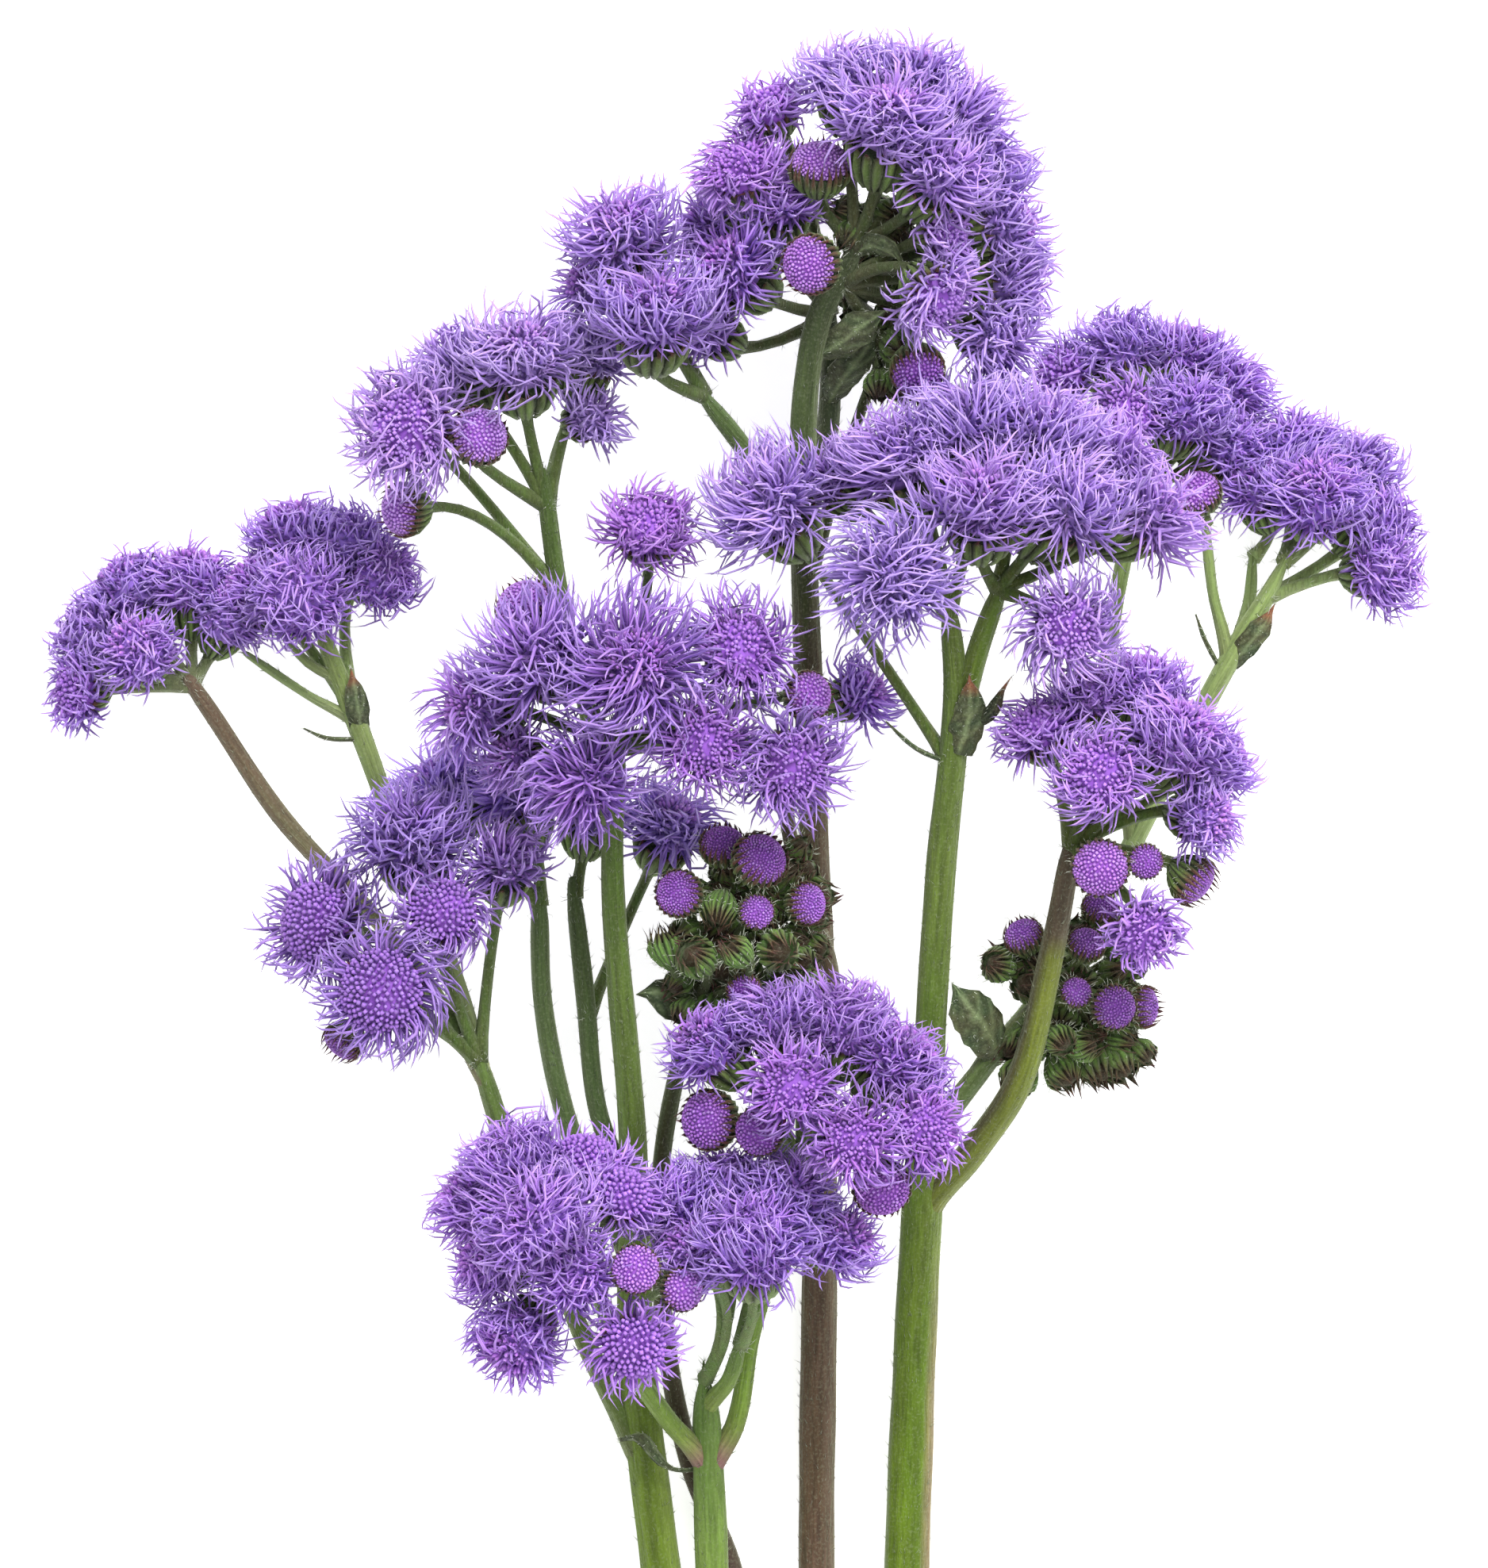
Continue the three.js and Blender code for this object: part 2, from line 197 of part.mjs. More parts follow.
function solid(points, faces) {
  const made = new Manifold(new Mesh({ numProp: 3, vertProperties: new Float32Array(points.flat()), triVerts: new Uint32Array(faces.flat()) }));
  return made.volume() < 0 ? new Manifold(new Mesh({ numProp: 3, vertProperties: new Float32Array(points.flat()), triVerts: new Uint32Array(faces.map(([a, b, c]) => [a, c, b]).flat()) })) : made;
}

// A closed tube through points [x, y, z, radius]; round it, each ring has the offsets that 'ring' gives.
function sweep(points, ring) {
  const places = points.map((p) => p.slice(0, 3));
  const ahead = places.map((p, i) => unit(add(places[Math.min(i + 1, places.length - 1)], places[Math.max(i - 1, 0)], -1)));
  let side = square(ahead[0]);
  const verts = [], faces = [];
  let n = 0;
  points.forEach((p, i) => {
    side = unit(add(side, ahead[i], -dot(side, ahead[i])));
    const offsets = ring(p[3], i);
    n = offsets.length;
    const up = cross(ahead[i], side);
    offsets.forEach(([a, b]) => verts.push(add(add(places[i], side, a), up, b)));
    if (!i) return;
    for (let k = 0; k < n; k++) {
      const a = (i - 1) * n + k, b = (i - 1) * n + ((k + 1) % n);
      faces.push([a, b, b + n], [a, b + n, a + n]);
    }
  });
  const last = verts.length - n;
  for (let k = 1; k < n - 1; k++) faces.push([0, k + 1, k], [last, last + k, last + k + 1]);
  return solid(verts, faces);
}
const round = (sides, turn = 0) => (radius) => Array.from({ length: sides }, (_, k) => {
  const angle = turn + (2 * Math.PI * k) / sides;
  return [radius * Math.cos(angle), radius * Math.sin(angle)];
});

// ---- stalk and cup of one head, from its fork to the underside of its florets; 'grow' swells it for clearance ----
function stalk(head, grow) {
  const { kind, centre, face, R, from } = head;
  const shape = KINDS[kind];
  const base = add(centre, face, -shape.deep * R);
  const reach = size(add(base, from, -1));
  const bend = add(base, face, -0.45 * reach);
  const middle = from.map((v, i) => 0.25 * v + 0.5 * bend[i] + 0.25 * base[i]);
  const mouth = shape.floor * R * shape.flat - (ONE_PIECE[kind] ? 0 : GAP);
  const radius = Math.min(STALK_RADIUS, 0.22 * R);
  const rings = [[...from, radius + grow]];
  if (reach > LONG_STALK) rings.push([...middle, radius + grow]);
  if (R > LARGE_HEAD) rings.push([...base, radius + grow], [...add(base, face, 0.35 * shape.deep * R), shape.rim * R * 0.9 + grow]);
  else rings.push([...base, 0.28 * R + grow]);
  rings.push([...add(centre, face, mouth + 0.8 * grow), shape.rim * R + grow]);
  if (ONE_PIECE[kind]) rings.push([...add(centre, face, shape.flat * R + grow), ONE_PIECE[kind] * R + grow]);
  return sweep(rings, round(STALK_SIDES));
}

// ---- florets of one head: a dome, each face of which is raised into a thread or bead ----
const BALLS = [new THREE.IcosahedronGeometry(1, 0), new THREE.OctahedronGeometry(1, 1)].map((ball) => {
  const p = ball.getAttribute('position');
  return Array.from({ length: p.count / 3 }, (_, f) => [0, 1, 2].map((k) => unit([p.getX(3 * f + k), p.getY(3 * f + k), p.getZ(3 * f + k)])));
});
function florets(head, grow) {
  const { kind, centre, face, R, spin } = head;
  const shape = KINDS[kind];
  const across = square(face), other = cross(face, across);
  const floor = shape.floor * R * shape.flat;
  const verts = [], faces = [], known = new Map();
  const put = (d, reach) => {
    const [c, s] = [Math.cos(spin), Math.sin(spin)];
    const local = [c * d[0] - s * d[1], s * d[0] + c * d[1], d[2]].map((v) => v * reach);
    const height = Math.max(local[2] * shape.flat, floor);
    return verts.push(add(add(add(centre, across, local[0]), other, local[1]), face, height - (height === floor ? grow : 0))) - 1;
  };
  const shared = (d) => {
    const key = d.map((v) => Math.round(v * 1e4)).join();
    if (!known.has(key)) known.set(key, put(d, shape.core * R + grow));
    return known.get(key);
  };
  for (const corners of BALLS[R > LARGE_HEAD ? 1 : 0]) {
    const [a, b, c] = corners.map(shared);
    const middle = unit(add(add(corners[0], corners[1]), corners[2]));
    if (middle[2] * shape.core * shape.flat < shape.floor * shape.flat + 0.05) { faces.push([a, b, c]); continue; }
    const beads = kind === 'h' && middle[2] > 0.7;
    const top = put(middle, (beads ? 0.97 : 1) * R + grow);
    faces.push([a, b, top], [b, c, top], [c, a, top]);
  }
  return solid(verts, faces);
}

// ---- put the heads in place ----
const heads = Object.entries(SPRAYS).flatMap(([spray, { stem, aim, forks, heads: rows }]) => rows.map(([kind, x, y, z, R, fork, facing]) => {
  const centre = [x, y, z];
  return { spray, stem, kind, centre, R, from: forks[fork], face: unit(facing || add(centre, aim, -1)), spin: 6.283 * draw() };
}));

const keep = (made) => made.trimByPlane([0, 0, 1], 0).simplify(SIMPLE);
const join = (list) => Manifold.union(list);

// Green pieces: shoots, stalks, cups, buds and leaves of each cut stem; 'grow' as above.
function green(stem, grow) {
  const shoots = Object.values(STEMS[stem]).map((points) => sweep(points.map(([x, y, z, r]) => [x, y, z, r + grow]), round(points[1][3] < THIN_SHOOT ? STALK_SIDES : STEM_SIDES)));
  const stalks = heads.filter((head) => head.stem === stem).map((head) => stalk(head, grow));
  const blades = LEAVES[stem].map(([points, turn]) => {
    const [c, s] = [Math.cos(turn * Math.PI / 180), Math.sin(turn * Math.PI / 180)];
    const thick = BLADE_THICKNESS / 2 + grow;
    return sweep(points.map(([x, y, z, w]) => [x, y, z, w + grow]), (w) => [[-w, -thick], [w, -thick], [w, thick], [-w, thick]].map(([a, b]) => [c * a - s * b, s * a + c * b]));
  });
  return join([...shoots, ...stalks, ...blades]);
}

const finished = [];
const swollen = [];
for (const stem of Object.keys(STEMS)) {
  finished.push([stem, keep(green(stem, 0)), COLOURS[stem], 0.6]);
  swollen.push(green(stem, GAP));
}
const allGreen = join(swollen);
let front = null; // swollen florets of the sprays already placed, which later sprays keep clear of
for (const spray of Object.keys(SPRAYS)) {
  const own = heads.filter((head) => head.spray === spray && !ONE_PIECE[head.kind]);
  if (!own.length) continue;
  let made = join(own.map((head) => florets(head, 0))).simplify(SIMPLE_FLORETS).subtract(allGreen);
  if (front) made = made.subtract(front);
  const swell = join(own.map((head) => florets(head, GAP)));
  front = front ? front.add(swell) : swell;
  const bodies = keep(made).decompose().filter((body) => body.volume() > SCRAP_VOLUME).sort((a, b) => b.volume() - a.volume());
  bodies.forEach((body, i) => finished.push([`florets_${spray}${i ? `_${i + 1}` : ''}`, body, FLORETS, 0.75]));
}

const group = new THREE.Group();
for (const [name, made, colour, roughness] of finished) {
  const mesh = made.getMesh();
  const geometry = new THREE.BufferGeometry();
  geometry.setAttribute('position', new THREE.BufferAttribute(Float32Array.from(mesh.vertProperties), 3));
  geometry.setIndex(Array.from(mesh.triVerts));
  const piece = new THREE.Mesh(geometry, new THREE.MeshStandardMaterial({ color: colour, roughness, metalness: 0, flatShading: true }));
  piece.name = name;
  piece.position.set(-ORIGIN[0], -ORIGIN[1], -ORIGIN[2]);
  group.add(piece);
}
export default group;
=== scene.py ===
# A cut bunch of ageratum (floss flower), lying on a surface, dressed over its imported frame.
# Lengths are millimetres in the layout's own axes, +Z up and the flower heads towards +Y, until a mesh is made.
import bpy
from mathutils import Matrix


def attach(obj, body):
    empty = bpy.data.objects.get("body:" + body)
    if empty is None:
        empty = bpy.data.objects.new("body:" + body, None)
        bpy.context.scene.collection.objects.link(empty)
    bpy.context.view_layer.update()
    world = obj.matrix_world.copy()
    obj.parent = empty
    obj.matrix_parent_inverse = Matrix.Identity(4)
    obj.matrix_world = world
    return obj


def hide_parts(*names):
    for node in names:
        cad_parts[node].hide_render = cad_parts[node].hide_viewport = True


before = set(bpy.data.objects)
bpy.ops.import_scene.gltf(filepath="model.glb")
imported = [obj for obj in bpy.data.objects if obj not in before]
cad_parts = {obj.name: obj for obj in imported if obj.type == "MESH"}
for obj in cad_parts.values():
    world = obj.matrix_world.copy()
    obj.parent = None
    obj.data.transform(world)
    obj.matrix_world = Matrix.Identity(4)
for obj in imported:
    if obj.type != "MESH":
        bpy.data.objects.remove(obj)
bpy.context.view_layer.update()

import math
import re

import bmesh
import bpy
import numpy as np
from mathutils import Vector

# ---- layout, the same as the part's own source ----
ORIGIN = np.array([-0.7, 60.2, 0.0])  # the bunch's foot point: middle of its outline, on the surface
MM = 0.001  # in metres

# Points [x, y, z, radius] of each shoot, from its root to its tip.
STEMS = {
    'stem_left': {
        'trunk': [[-5, -24, 2, 2], [-8, 0, 3.6, 1.95], [-10.2, 20, 8.5, 1.75], [-10.5, 40, 16.5, 1.35],
                  [-12.4, 66, 25.2, 1.1], [-12, 78, 28, 1]],
        'left_shoot': [[-10.3, 9.5, 5.6, 1.1], [-15, 21, 8.5, 0.95], [-18.2, 29, 12, 0.9], [-23, 41.6, 18.2, 0.95],
                       [-25, 48, 20.6, 0.9]],
        'far_left_shoot': [[-24.6, 46.3, 19.8, 0.8], [-28.8, 53.4, 13.4, 0.8], [-34.2, 60.4, 8.6, 0.8],
                           [-44, 71, 6.8, 0.9], [-50.7, 81, 8.4, 0.85], [-52.6, 83.8, 9, 0.8]],
        'second_left_shoot': [[-24.8, 47.4, 20, 0.75], [-27.4, 56, 13.2, 0.75], [-31.7, 66, 9, 0.8],
                              [-36.4, 79, 9.4, 1], [-40.5, 89.6, 11, 0.75]],
        'back_shoot': [[-10.4, 28, 11.4, 1.05], [-16.4, 41, 12.6, 1], [-19, 53, 14.5, 0.9], [-19.4, 63.5, 16.4, 0.9]],
        'back_shoot_right': [[-10.4, 32.8, 13, 1], [-13.9, 43.6, 14.4, 0.9], [-15, 54, 15.2, 0.9],
                             [-16.2, 64.6, 16.6, 0.8]],
        'hidden_shoot': [[-12.4, 65.8, 25, 0.8], [-13.2, 73.3, 20, 0.75], [-15, 81.5, 15, 0.8],
                         [-17.2, 90.5, 13.4, 0.9], [-19, 103.3, 16.4, 0.8]],
    },
    'stem_front': {
        'trunk': [[-2.6, -22, 3.8, 1.6], [-3.1, 0, 5.2, 1.6], [-3.6, 14, 9, 1.3], [-3.8, 18.5, 11.5, 1.05]],
        'left_shoot': [[-4, 9.4, 7.4, 1], [-7.2, 13.7, 11.2, 0.9], [-11.4, 20.2, 16.6, 0.85], [-14.2, 27, 21, 0.8]],
        'right_shoot': [[-2.7, 8.8, 7.2, 1], [-0.9, 13, 8.4, 0.95], [0.8, 22, 11.6, 0.85], [5.4, 37.4, 19, 0.8]],
        'middle_shoot': [[-3.3, 14.4, 9.6, 0.75], [-1.4, 17.6, 13.4, 0.75], [-0.2, 21.5, 17, 0.75]],
    },
    'stem_buds': {
        'trunk': [[1.6, -21, 0.9, 1], [-1, -1.3, 1.2, 1], [-5, 9, 2.4, 1], [-7.4, 21, 6, 0.9], [-7.9, 37.3, 12, 0.85],
                  [-4.8, 54, 20, 0.75]],
    },
    'stem_tall': {
        'trunk': [[7.4, -23, 1.5, 1.75], [6.9, 0, 2.1, 1.75], [7.2, 30, 4.8, 1.65], [7.2, 51.5, 8, 1.55],
                  [6.2, 81, 12, 1.35], [5.8, 93, 14.5, 1.3], [5.5, 103.3, 18, 1.2]],
        'crown_shoot': [[5.5, 102.5, 17.8, 1.2], [6, 113, 21.6, 1.2], [7.4, 119, 24, 1.25], [9.8, 123, 25.4, 1.05],
                        [10.7, 125.2, 26.2, 0.8]],
        'second_shoot': [[5.6, 99.5, 16.6, 1], [7.8, 107, 15.4, 1.05], [8.2, 119, 15, 0.8]],
        'left_shoot': [[5.5, 96.5, 15.6, 0.9], [0.6, 105, 17, 0.9], [-4, 111, 19.4, 0.8]],
        'low_shoot': [[7.3, 50, 7.8, 1.1], [8, 55.6, 10, 1.1], [5, 66, 14.4, 0.75], [4, 73.3, 16.4, 0.7],
                      [5.4, 78, 17.6, 0.65]],
    },
    'stem_right': {
        'trunk': [[15, -23.5, 1.85, 2.15], [15.5, 0, 2.8, 2.1], [16.4, 24, 7, 2.05], [17, 36, 10.8, 1.85],
                  [17.4, 46, 15, 1.6], [18.6, 66, 21.6, 1.4], [20, 82.3, 26, 1.25], [19.3, 91, 28.4, 0.9]],
        'right_trunk': [[19.9, 77.2, 24.8, 1.05], [22, 86.4, 27.4, 1.05], [24.3, 93, 29.4, 0.9]],
        'right_shoot': [[17.4, 33.5, 9.8, 1.35], [21.6, 39.2, 14.2, 1.4], [26, 46, 19.6, 1.3], [29, 58, 24.8, 1.2],
                        [31, 68.8, 27.2, 1]],
        'bud_shoot': [[17.6, 39.5, 12.2, 1.05], [22.8, 47.4, 14.2, 1], [28, 53.6, 16.4, 0.75]],
        'far_right_shoot': [[22.3, 46.9, 13.8, 0.9], [28, 53.8, 9.4, 0.9], [34, 63, 6.8, 0.95], [40.3, 75, 7, 1],
                            [47.4, 88.2, 9, 0.95], [49.8, 92.2, 9.2, 0.8], [51.4, 95.4, 9, 0.65]],
        'outer_stalk': [[45.6, 85.2, 8.6, 0.6], [44.5, 92.6, 9.6, 0.5], [43.8, 98.9, 10.1, 0.55]],
        'inner_stalk': [[46.2, 86.2, 8.8, 0.6], [48, 91.2, 7.2, 0.6], [48.4, 96, 6.6, 0.58]],
        'second_right_shoot': [[36.7, 68.6, 6.8, 0.7], [34.5, 78.5, 7, 0.75], [34.8, 87.5, 8, 0.8],
                               [37.4, 102, 10, 0.75]],
    },
}

# Heads: [kind, x, y, z, R], then the fork that one grows from if that isn't its spray's first, and the way it
# faces if that isn't straight away from 'aim'.
# Kinds: o open, h half open, d disc of closed florets, b coloured bud, g green bud.
SPRAYS = {
    'lower_left': dict(stem='stem_front', aim=[-16, 28, 24],
                       forks={'end': [-14, 26.4, 20.6], 'low': [-11.4, 20.4, 16.6]}, heads=[
        ['o', -21.5, 38, 30, 5.2], ['h', -15, 38.5, 29, 4.5], ['o', -25, 34.5, 27, 4.7], ['o', -19, 32.5, 35.5, 6],
        ['h', -11.5, 35.3, 32, 4.2], ['o', -16, 28, 34, 4.5], ['o', -23.5, 28.8, 28.5, 4.2],
        ['o', -21, 22, 30, 4.8, [-0.35, -0.65, 0.65]], ['h', -10.5, 21.3, 32, 4.5, 'low', [0.1, -0.3, 0.95]],
        ['d', -10.2, 28.5, 35, 2.4, [0.1, 0, 1]], ['d', -5.8, 26.5, 32, 2.1, 'low', [0.4, 0, 0.9]]]),
    'lower_middle': dict(stem='stem_front', aim=[-0.5, 24, 21],
                         forks={'left': [-3.7, 17.6, 11.2], 'right': [-0.3, 21, 16.4]}, heads=[
        ['o', -6.3, 34, 26, 4.6], ['o', -1.7, 35.6, 25, 4.6], ['o', 4, 35, 28, 4.8, 'right'],
        ['o', 0.9, 30.4, 32, 6, 'right', [0, 0.65, 0.75]], ['o', 8.8, 30.8, 27, 4.2, 'right', [0.55, 0.1, 0.8]],
        ['o', -4.4, 29.6, 29.5, 4.2]]),
    'middle_low': dict(stem='stem_front', aim=[7, 40, 23], forks={'end': [5.3, 36.8, 18.6]}, heads=[
        ['o', -3, 49, 28, 4.5], ['o', 2.8, 51.5, 28, 4.6], ['o', 9.2, 51, 28, 5.2], ['o', 14.4, 47.5, 29, 5.1],
        ['h', 4.6, 45.5, 34, 4.6, [-0.1, 0.1, 1]], ['h', 10.3, 40.6, 36, 4.5, [0, 0, 1]],
        ['h', 16.6, 41.6, 33, 4.5, [0.4, 0, 0.9]], ['d', -3.4, 42.4, 27, 2.9, [-0.5, -0.05, 0.87]],
        ['d', 1.4, 41.4, 30, 2.4, [-0.3, -0.1, 0.95]], ['d', 13, 36, 31.5, 2.8, [0.1, -0.4, 0.9]]]),
    'middle': dict(stem='stem_left', aim=[-11, 77, 18], forks={'top': [-12.1, 77.4, 28], 'low': [-12.6, 70.4, 26.7]},
                   heads=[
        ['o', -10.3, 84.4, 38, 7, [0, 0.05, 1]], ['o', -19, 85.6, 35, 6, [-0.4, 0.25, 0.88]],
        ['o', -25, 81, 31, 5, [-0.75, 0, 0.65]], ['d', -20.8, 91, 30, 2.8, [-0.35, 0.6, 0.7]],
        ['h', -0.5, 86.6, 35, 5.1, [0.15, 0.35, 0.93]], ['d', 6.1, 82.4, 33, 2.4, [0.5, 0, 0.87]],
        ['h', 4.3, 76, 35, 5.1, [0.25, -0.25, 0.93]], ['h', -3.8, 78, 37.5, 4.6, [0.05, -0.2, 0.98]],
        ['o', -14.8, 74.6, 37, 5.3, 'low', [-0.1, -0.35, 0.93]], ['o', -21.6, 76.8, 30, 3.6]]),
    'middle_top': dict(stem='stem_left', aim=[-10, 80, 16], forks={'top': [-12.1, 78, 28]}, heads=[
        ['h', -9, 98, 29, 4.8, [0, 0.6, 0.75]]]),
    'right_middle': dict(stem='stem_right', aim=[34.5, 70.5, 26], forks={'end': [30.8, 68.2, 27.1]}, heads=[
        ['h', 27.8, 79, 30, 4.3, [-0.35, 0.7, 0.6]], ['o', 32.5, 82, 29, 4.2], ['o', 37.6, 82.6, 28, 4.9],
        ['o', 40.6, 78, 33, 5.5], ['h', 33.5, 75, 35.5, 4.7, [-0.05, 0.1, 1]], ['o', 44.2, 76, 27, 4.3],
        ['o', 43, 70.8, 31, 4, [0.65, -0.2, 0.7]], ['d', 33.5, 66.2, 34, 2.8, [0, -0.1, 1]],
        ['h', 37.6, 60.4, 33, 3.9, [0.05, -0.45, 0.9]], ['b', 37.8, 66.8, 32, 1.7, [0.1, -0.1, 1]],
        ['b', 42.6, 64.8, 29, 2.4, [0.75, -0.6, 0.35]]]),
    'centre': dict(stem='stem_right', aim=[22, 90, 27],
                   forks={'low': [19.2, 76.4, 24.6], 'mid': [19.3, 90, 28.2], 'right': [23.9, 92.4, 29.2]}, heads=[
        ['o', 2.8, 100, 31, 6.1, [-0.45, 0.6, 0.65]], ['o', 8.4, 102.4, 27, 4, 'mid'], ['o', 14.6, 104, 31, 5.8, 'mid'],
        ['o', 21, 107, 30, 6, 'mid'], ['o', 28, 106.4, 30, 6, 'right'], ['o', 22.4, 100, 37, 6, 'right'],
        ['o', 30, 100, 35, 6, 'right'], ['o', 34.4, 104.6, 28, 4.7, 'right'], ['o', 38, 99.2, 30, 5.4, 'right'],
        ['o', 14.4, 93.4, 38, 6.3, 'mid', [-0.15, -0.1, 1]], ['h', 30.3, 89, 36.5, 4.8, 'right', [0.15, -0.25, 0.96]]]),
    'crown': dict(stem='stem_tall', aim=[11, 123, 23], forks={'top': [10.5, 124.8, 26], 'low': [9.3, 121.4, 25]},
                  heads=[
        ['o', 13.6, 136, 32, 6.3], ['o', 9.4, 140, 27, 4.7], ['o', 16, 140.6, 26, 4.7], ['o', 20.4, 137, 27, 4.7],
        ['o', 22.6, 132, 26, 4.8], ['o', 18.4, 131, 32.5, 5.1], ['o', 24.4, 126.6, 26, 4.7, 'low'],
        ['o', 25, 121.4, 25, 4.4, 'low'], ['o', 23.6, 116, 26, 4.7, 'low', [0.6, -0.35, 0.7]],
        ['h', 18.8, 126, 30, 3.6, 'low', [0.75, 0.2, 0.6]], ['h', 18, 120.2, 31, 4.7, 'low', [0.6, -0.65, 0.45]],
        ['d', 7.2, 132.6, 27, 3, [0.05, 0.75, 0.6]]]),
    'crown_left': dict(stem='stem_tall', aim=[7, 119, 14], forks={'low': [6.4, 115.8, 22.6], 'rear': [8.2, 118.6, 15]},
                       heads=[
        ['h', 0, 132, 25, 4.6, 'rear', [-0.35, 0.6, 0.7]], ['h', 2.6, 137.8, 24, 3.8, 'rear', [-0.35, 0.75, 0.55]],
        ['o', 3.8, 128.6, 23.6, 4, 'rear', [-0.1, 0.6, 0.7]], ['o', -0.8, 122.6, 23, 5.4, 'rear', [-0.55, 0.45, 0.65]],
        ['d', 6.2, 123, 31, 2.9, [-0.45, -0.1, 0.85]], ['o', -3.2, 117, 19, 4, 'rear', [-0.6, 0.35, 0.6]],
        ['o', -3, 126.4, 17.4, 4.4, 'rear', [-0.7, 0.2, -0.3]], ['o', 0.6, 129.2, 10, 4.6, 'rear', [-0.4, 0.5, -0.5]],
        ['o', 5, 130.6, 3.3, 4.8, 'rear', [-0.1, 0.5, -0.8]]]),
    'nodding': dict(stem='stem_tall', aim=[14, 106, 18], forks={'only': [5.9, 92, 14.3]}, heads=[
        ['d', 16.4, 113, 27, 2.6, [0.15, -0.6, 0.75]]]),
    'upper_left': dict(stem='stem_left', aim=[-19, 103, 16],
                       forks={'base': [-17.6, 92.4, 13.7], 'main': [-18.6, 100.4, 15.5]}, heads=[
        ['h', -31.5, 107.6, 24, 6.1, [-0.3, 0.2, 0.9]], ['d', -25, 107, 25, 2.9, 'main', [0.3, 0.3, 0.9]],
        ['d', -32.4, 100, 21, 2.6, [-0.8, -0.1, 0.6]], ['o', -27.4, 113.4, 19, 4.6, 'main'],
        ['o', -21, 114, 24, 6, 'main', [-0.05, 0.7, 0.7]], ['o', -14.6, 108.6, 19, 3.6, 'main', [0.5, 0.1, 0.8]],
        ['o', -14.6, 114.4, 18, 4.4, 'main']]),
    'upper_middle': dict(stem='stem_tall', aim=[-6.6, 112.3, 12], forks={'end': [-3.7, 110.8, 19.2]}, heads=[
        ['o', -11.4, 125.4, 24, 6, [-0.3, 0.75, 0.55]], ['o', -14.4, 121, 20, 3.8, [-0.7, 0.2, 0.6]],
        ['o', -8.4, 118, 28, 6.3, [0.05, 0.68, 0.73]]]),
    'left_front': dict(stem='stem_left', aim=[-27, 49, 14], forks={'end': [-25, 47.8, 20.5]}, heads=[
        ['o', -31.3, 68.4, 26, 6.2, [-0.1, 0.6, 0.8]], ['h', -40, 61, 24, 5.8, [-0.6, 0.1, 0.8]],
        ['h', -34, 54.6, 31, 6, [-0.1, -0.05, 1]], ['h', -28.4, 62, 29.5, 4.6, [0.1, 0.3, 0.95]],
        ['o', -22.4, 66.4, 27, 4.4, [0.15, 0.7, 0.7]], ['b', -38, 49.6, 23, 2, [-0.6, -0.7, 0.4]]]),
    'middle_back': dict(stem='stem_left', aim=[-16.5, 60, 13],
                        forks={'left': [-19.3, 62.6, 16.2], 'right': [-16, 63.4, 16.4], 'fork': [-14.8, 52, 15]},
                        heads=[
        ['o', -28.4, 73.6, 15, 5], ['o', -21.6, 73, 18, 5.1], ['o', -14.6, 71.6, 18.4, 4.7, 'right'],
        ['o', -7, 69.8, 17.6, 5, 'fork', [0.3, 0.6, 0.6]]]),
    'stray': dict(stem='stem_tall', aim=[5.5, 77.8, 16], forks={'only': [5.2, 77.4, 17.4]}, heads=[
        ['o', 11, 82.4, 20, 3.8, [0.8, 0.2, 0.5]]]),
    'right': dict(stem='stem_right', aim=[52, 92.5, 3],
                  forks={'low': [48.4, 95.6, 6.7], 'mid': [49.6, 91.8, 9.2], 'end': [51.3, 95.2, 9]}, heads=[
        ['o', 52.4, 105.2, 5.2, 5, 'end'], ['o', 54.2, 101, 11.5, 5.3, 'end', [0.1, 0.5, 0.85]],
        ['o', 58.2, 103.6, 3.2, 4.7, 'end'], ['o', 60, 98.8, 5.6, 4.3, 'mid'],
        ['o', 60.4, 94.2, 10, 4.3, 'mid', [0.7, 0, 0.7]], ['o', 48.8, 102, 8, 4.2]]),
    'far_right': dict(stem='stem_right', aim=[38.4, 102, 6],
                      forks={'end': [37.3, 101.6, 9.9], 'stalk': [43.8, 98.8, 10.1]}, heads=[
        ['h', 30.4, 113, 9.4, 3.8, [-0.6, 0.2, 0.75]], ['o', 35.6, 115, 7.6, 4.7],
        ['h', 36.4, 109.2, 13.4, 4, [-0.1, 0, 1]], ['o', 41.4, 114.2, 3.4, 4.8], ['o', 42, 109, 12, 4.5],
        ['o', 46, 111.2, 3.8, 4.6], ['o', 45.8, 106, 8, 4.5], ['d', 43, 101.8, 12, 2.3, 'stalk', [-0.2, 0.5, 0.8]]]),
    'left': dict(stem='stem_left', aim=[-40.4, 86.5, 6], forks={'low': [-36.9, 80.6, 9.6], 'end': [-40.3, 89, 10.9]},
                 heads=[
        ['o', -46, 92, 8, 4.3], ['o', -42.6, 97, 7, 4.8, 'end'], ['o', -42, 91.6, 13.6, 5, 'end', [-0.1, 0, 1]],
        ['o', -37.6, 96.4, 9, 4.4, 'end'], ['o', -34.6, 93.6, 11, 4, [0.45, 0.2, 0.8]]]),
    'far_left': dict(stem='stem_left', aim=[-52.6, 83, 4], forks={'end': [-52.4, 83.5, 8.9]}, heads=[
        ['h', -63.2, 83, 6, 3.9, [-0.8, -0.05, 0.55]], ['o', -61.4, 88, 3.6, 4.5], ['o', -58, 92, 3.2, 4.7],
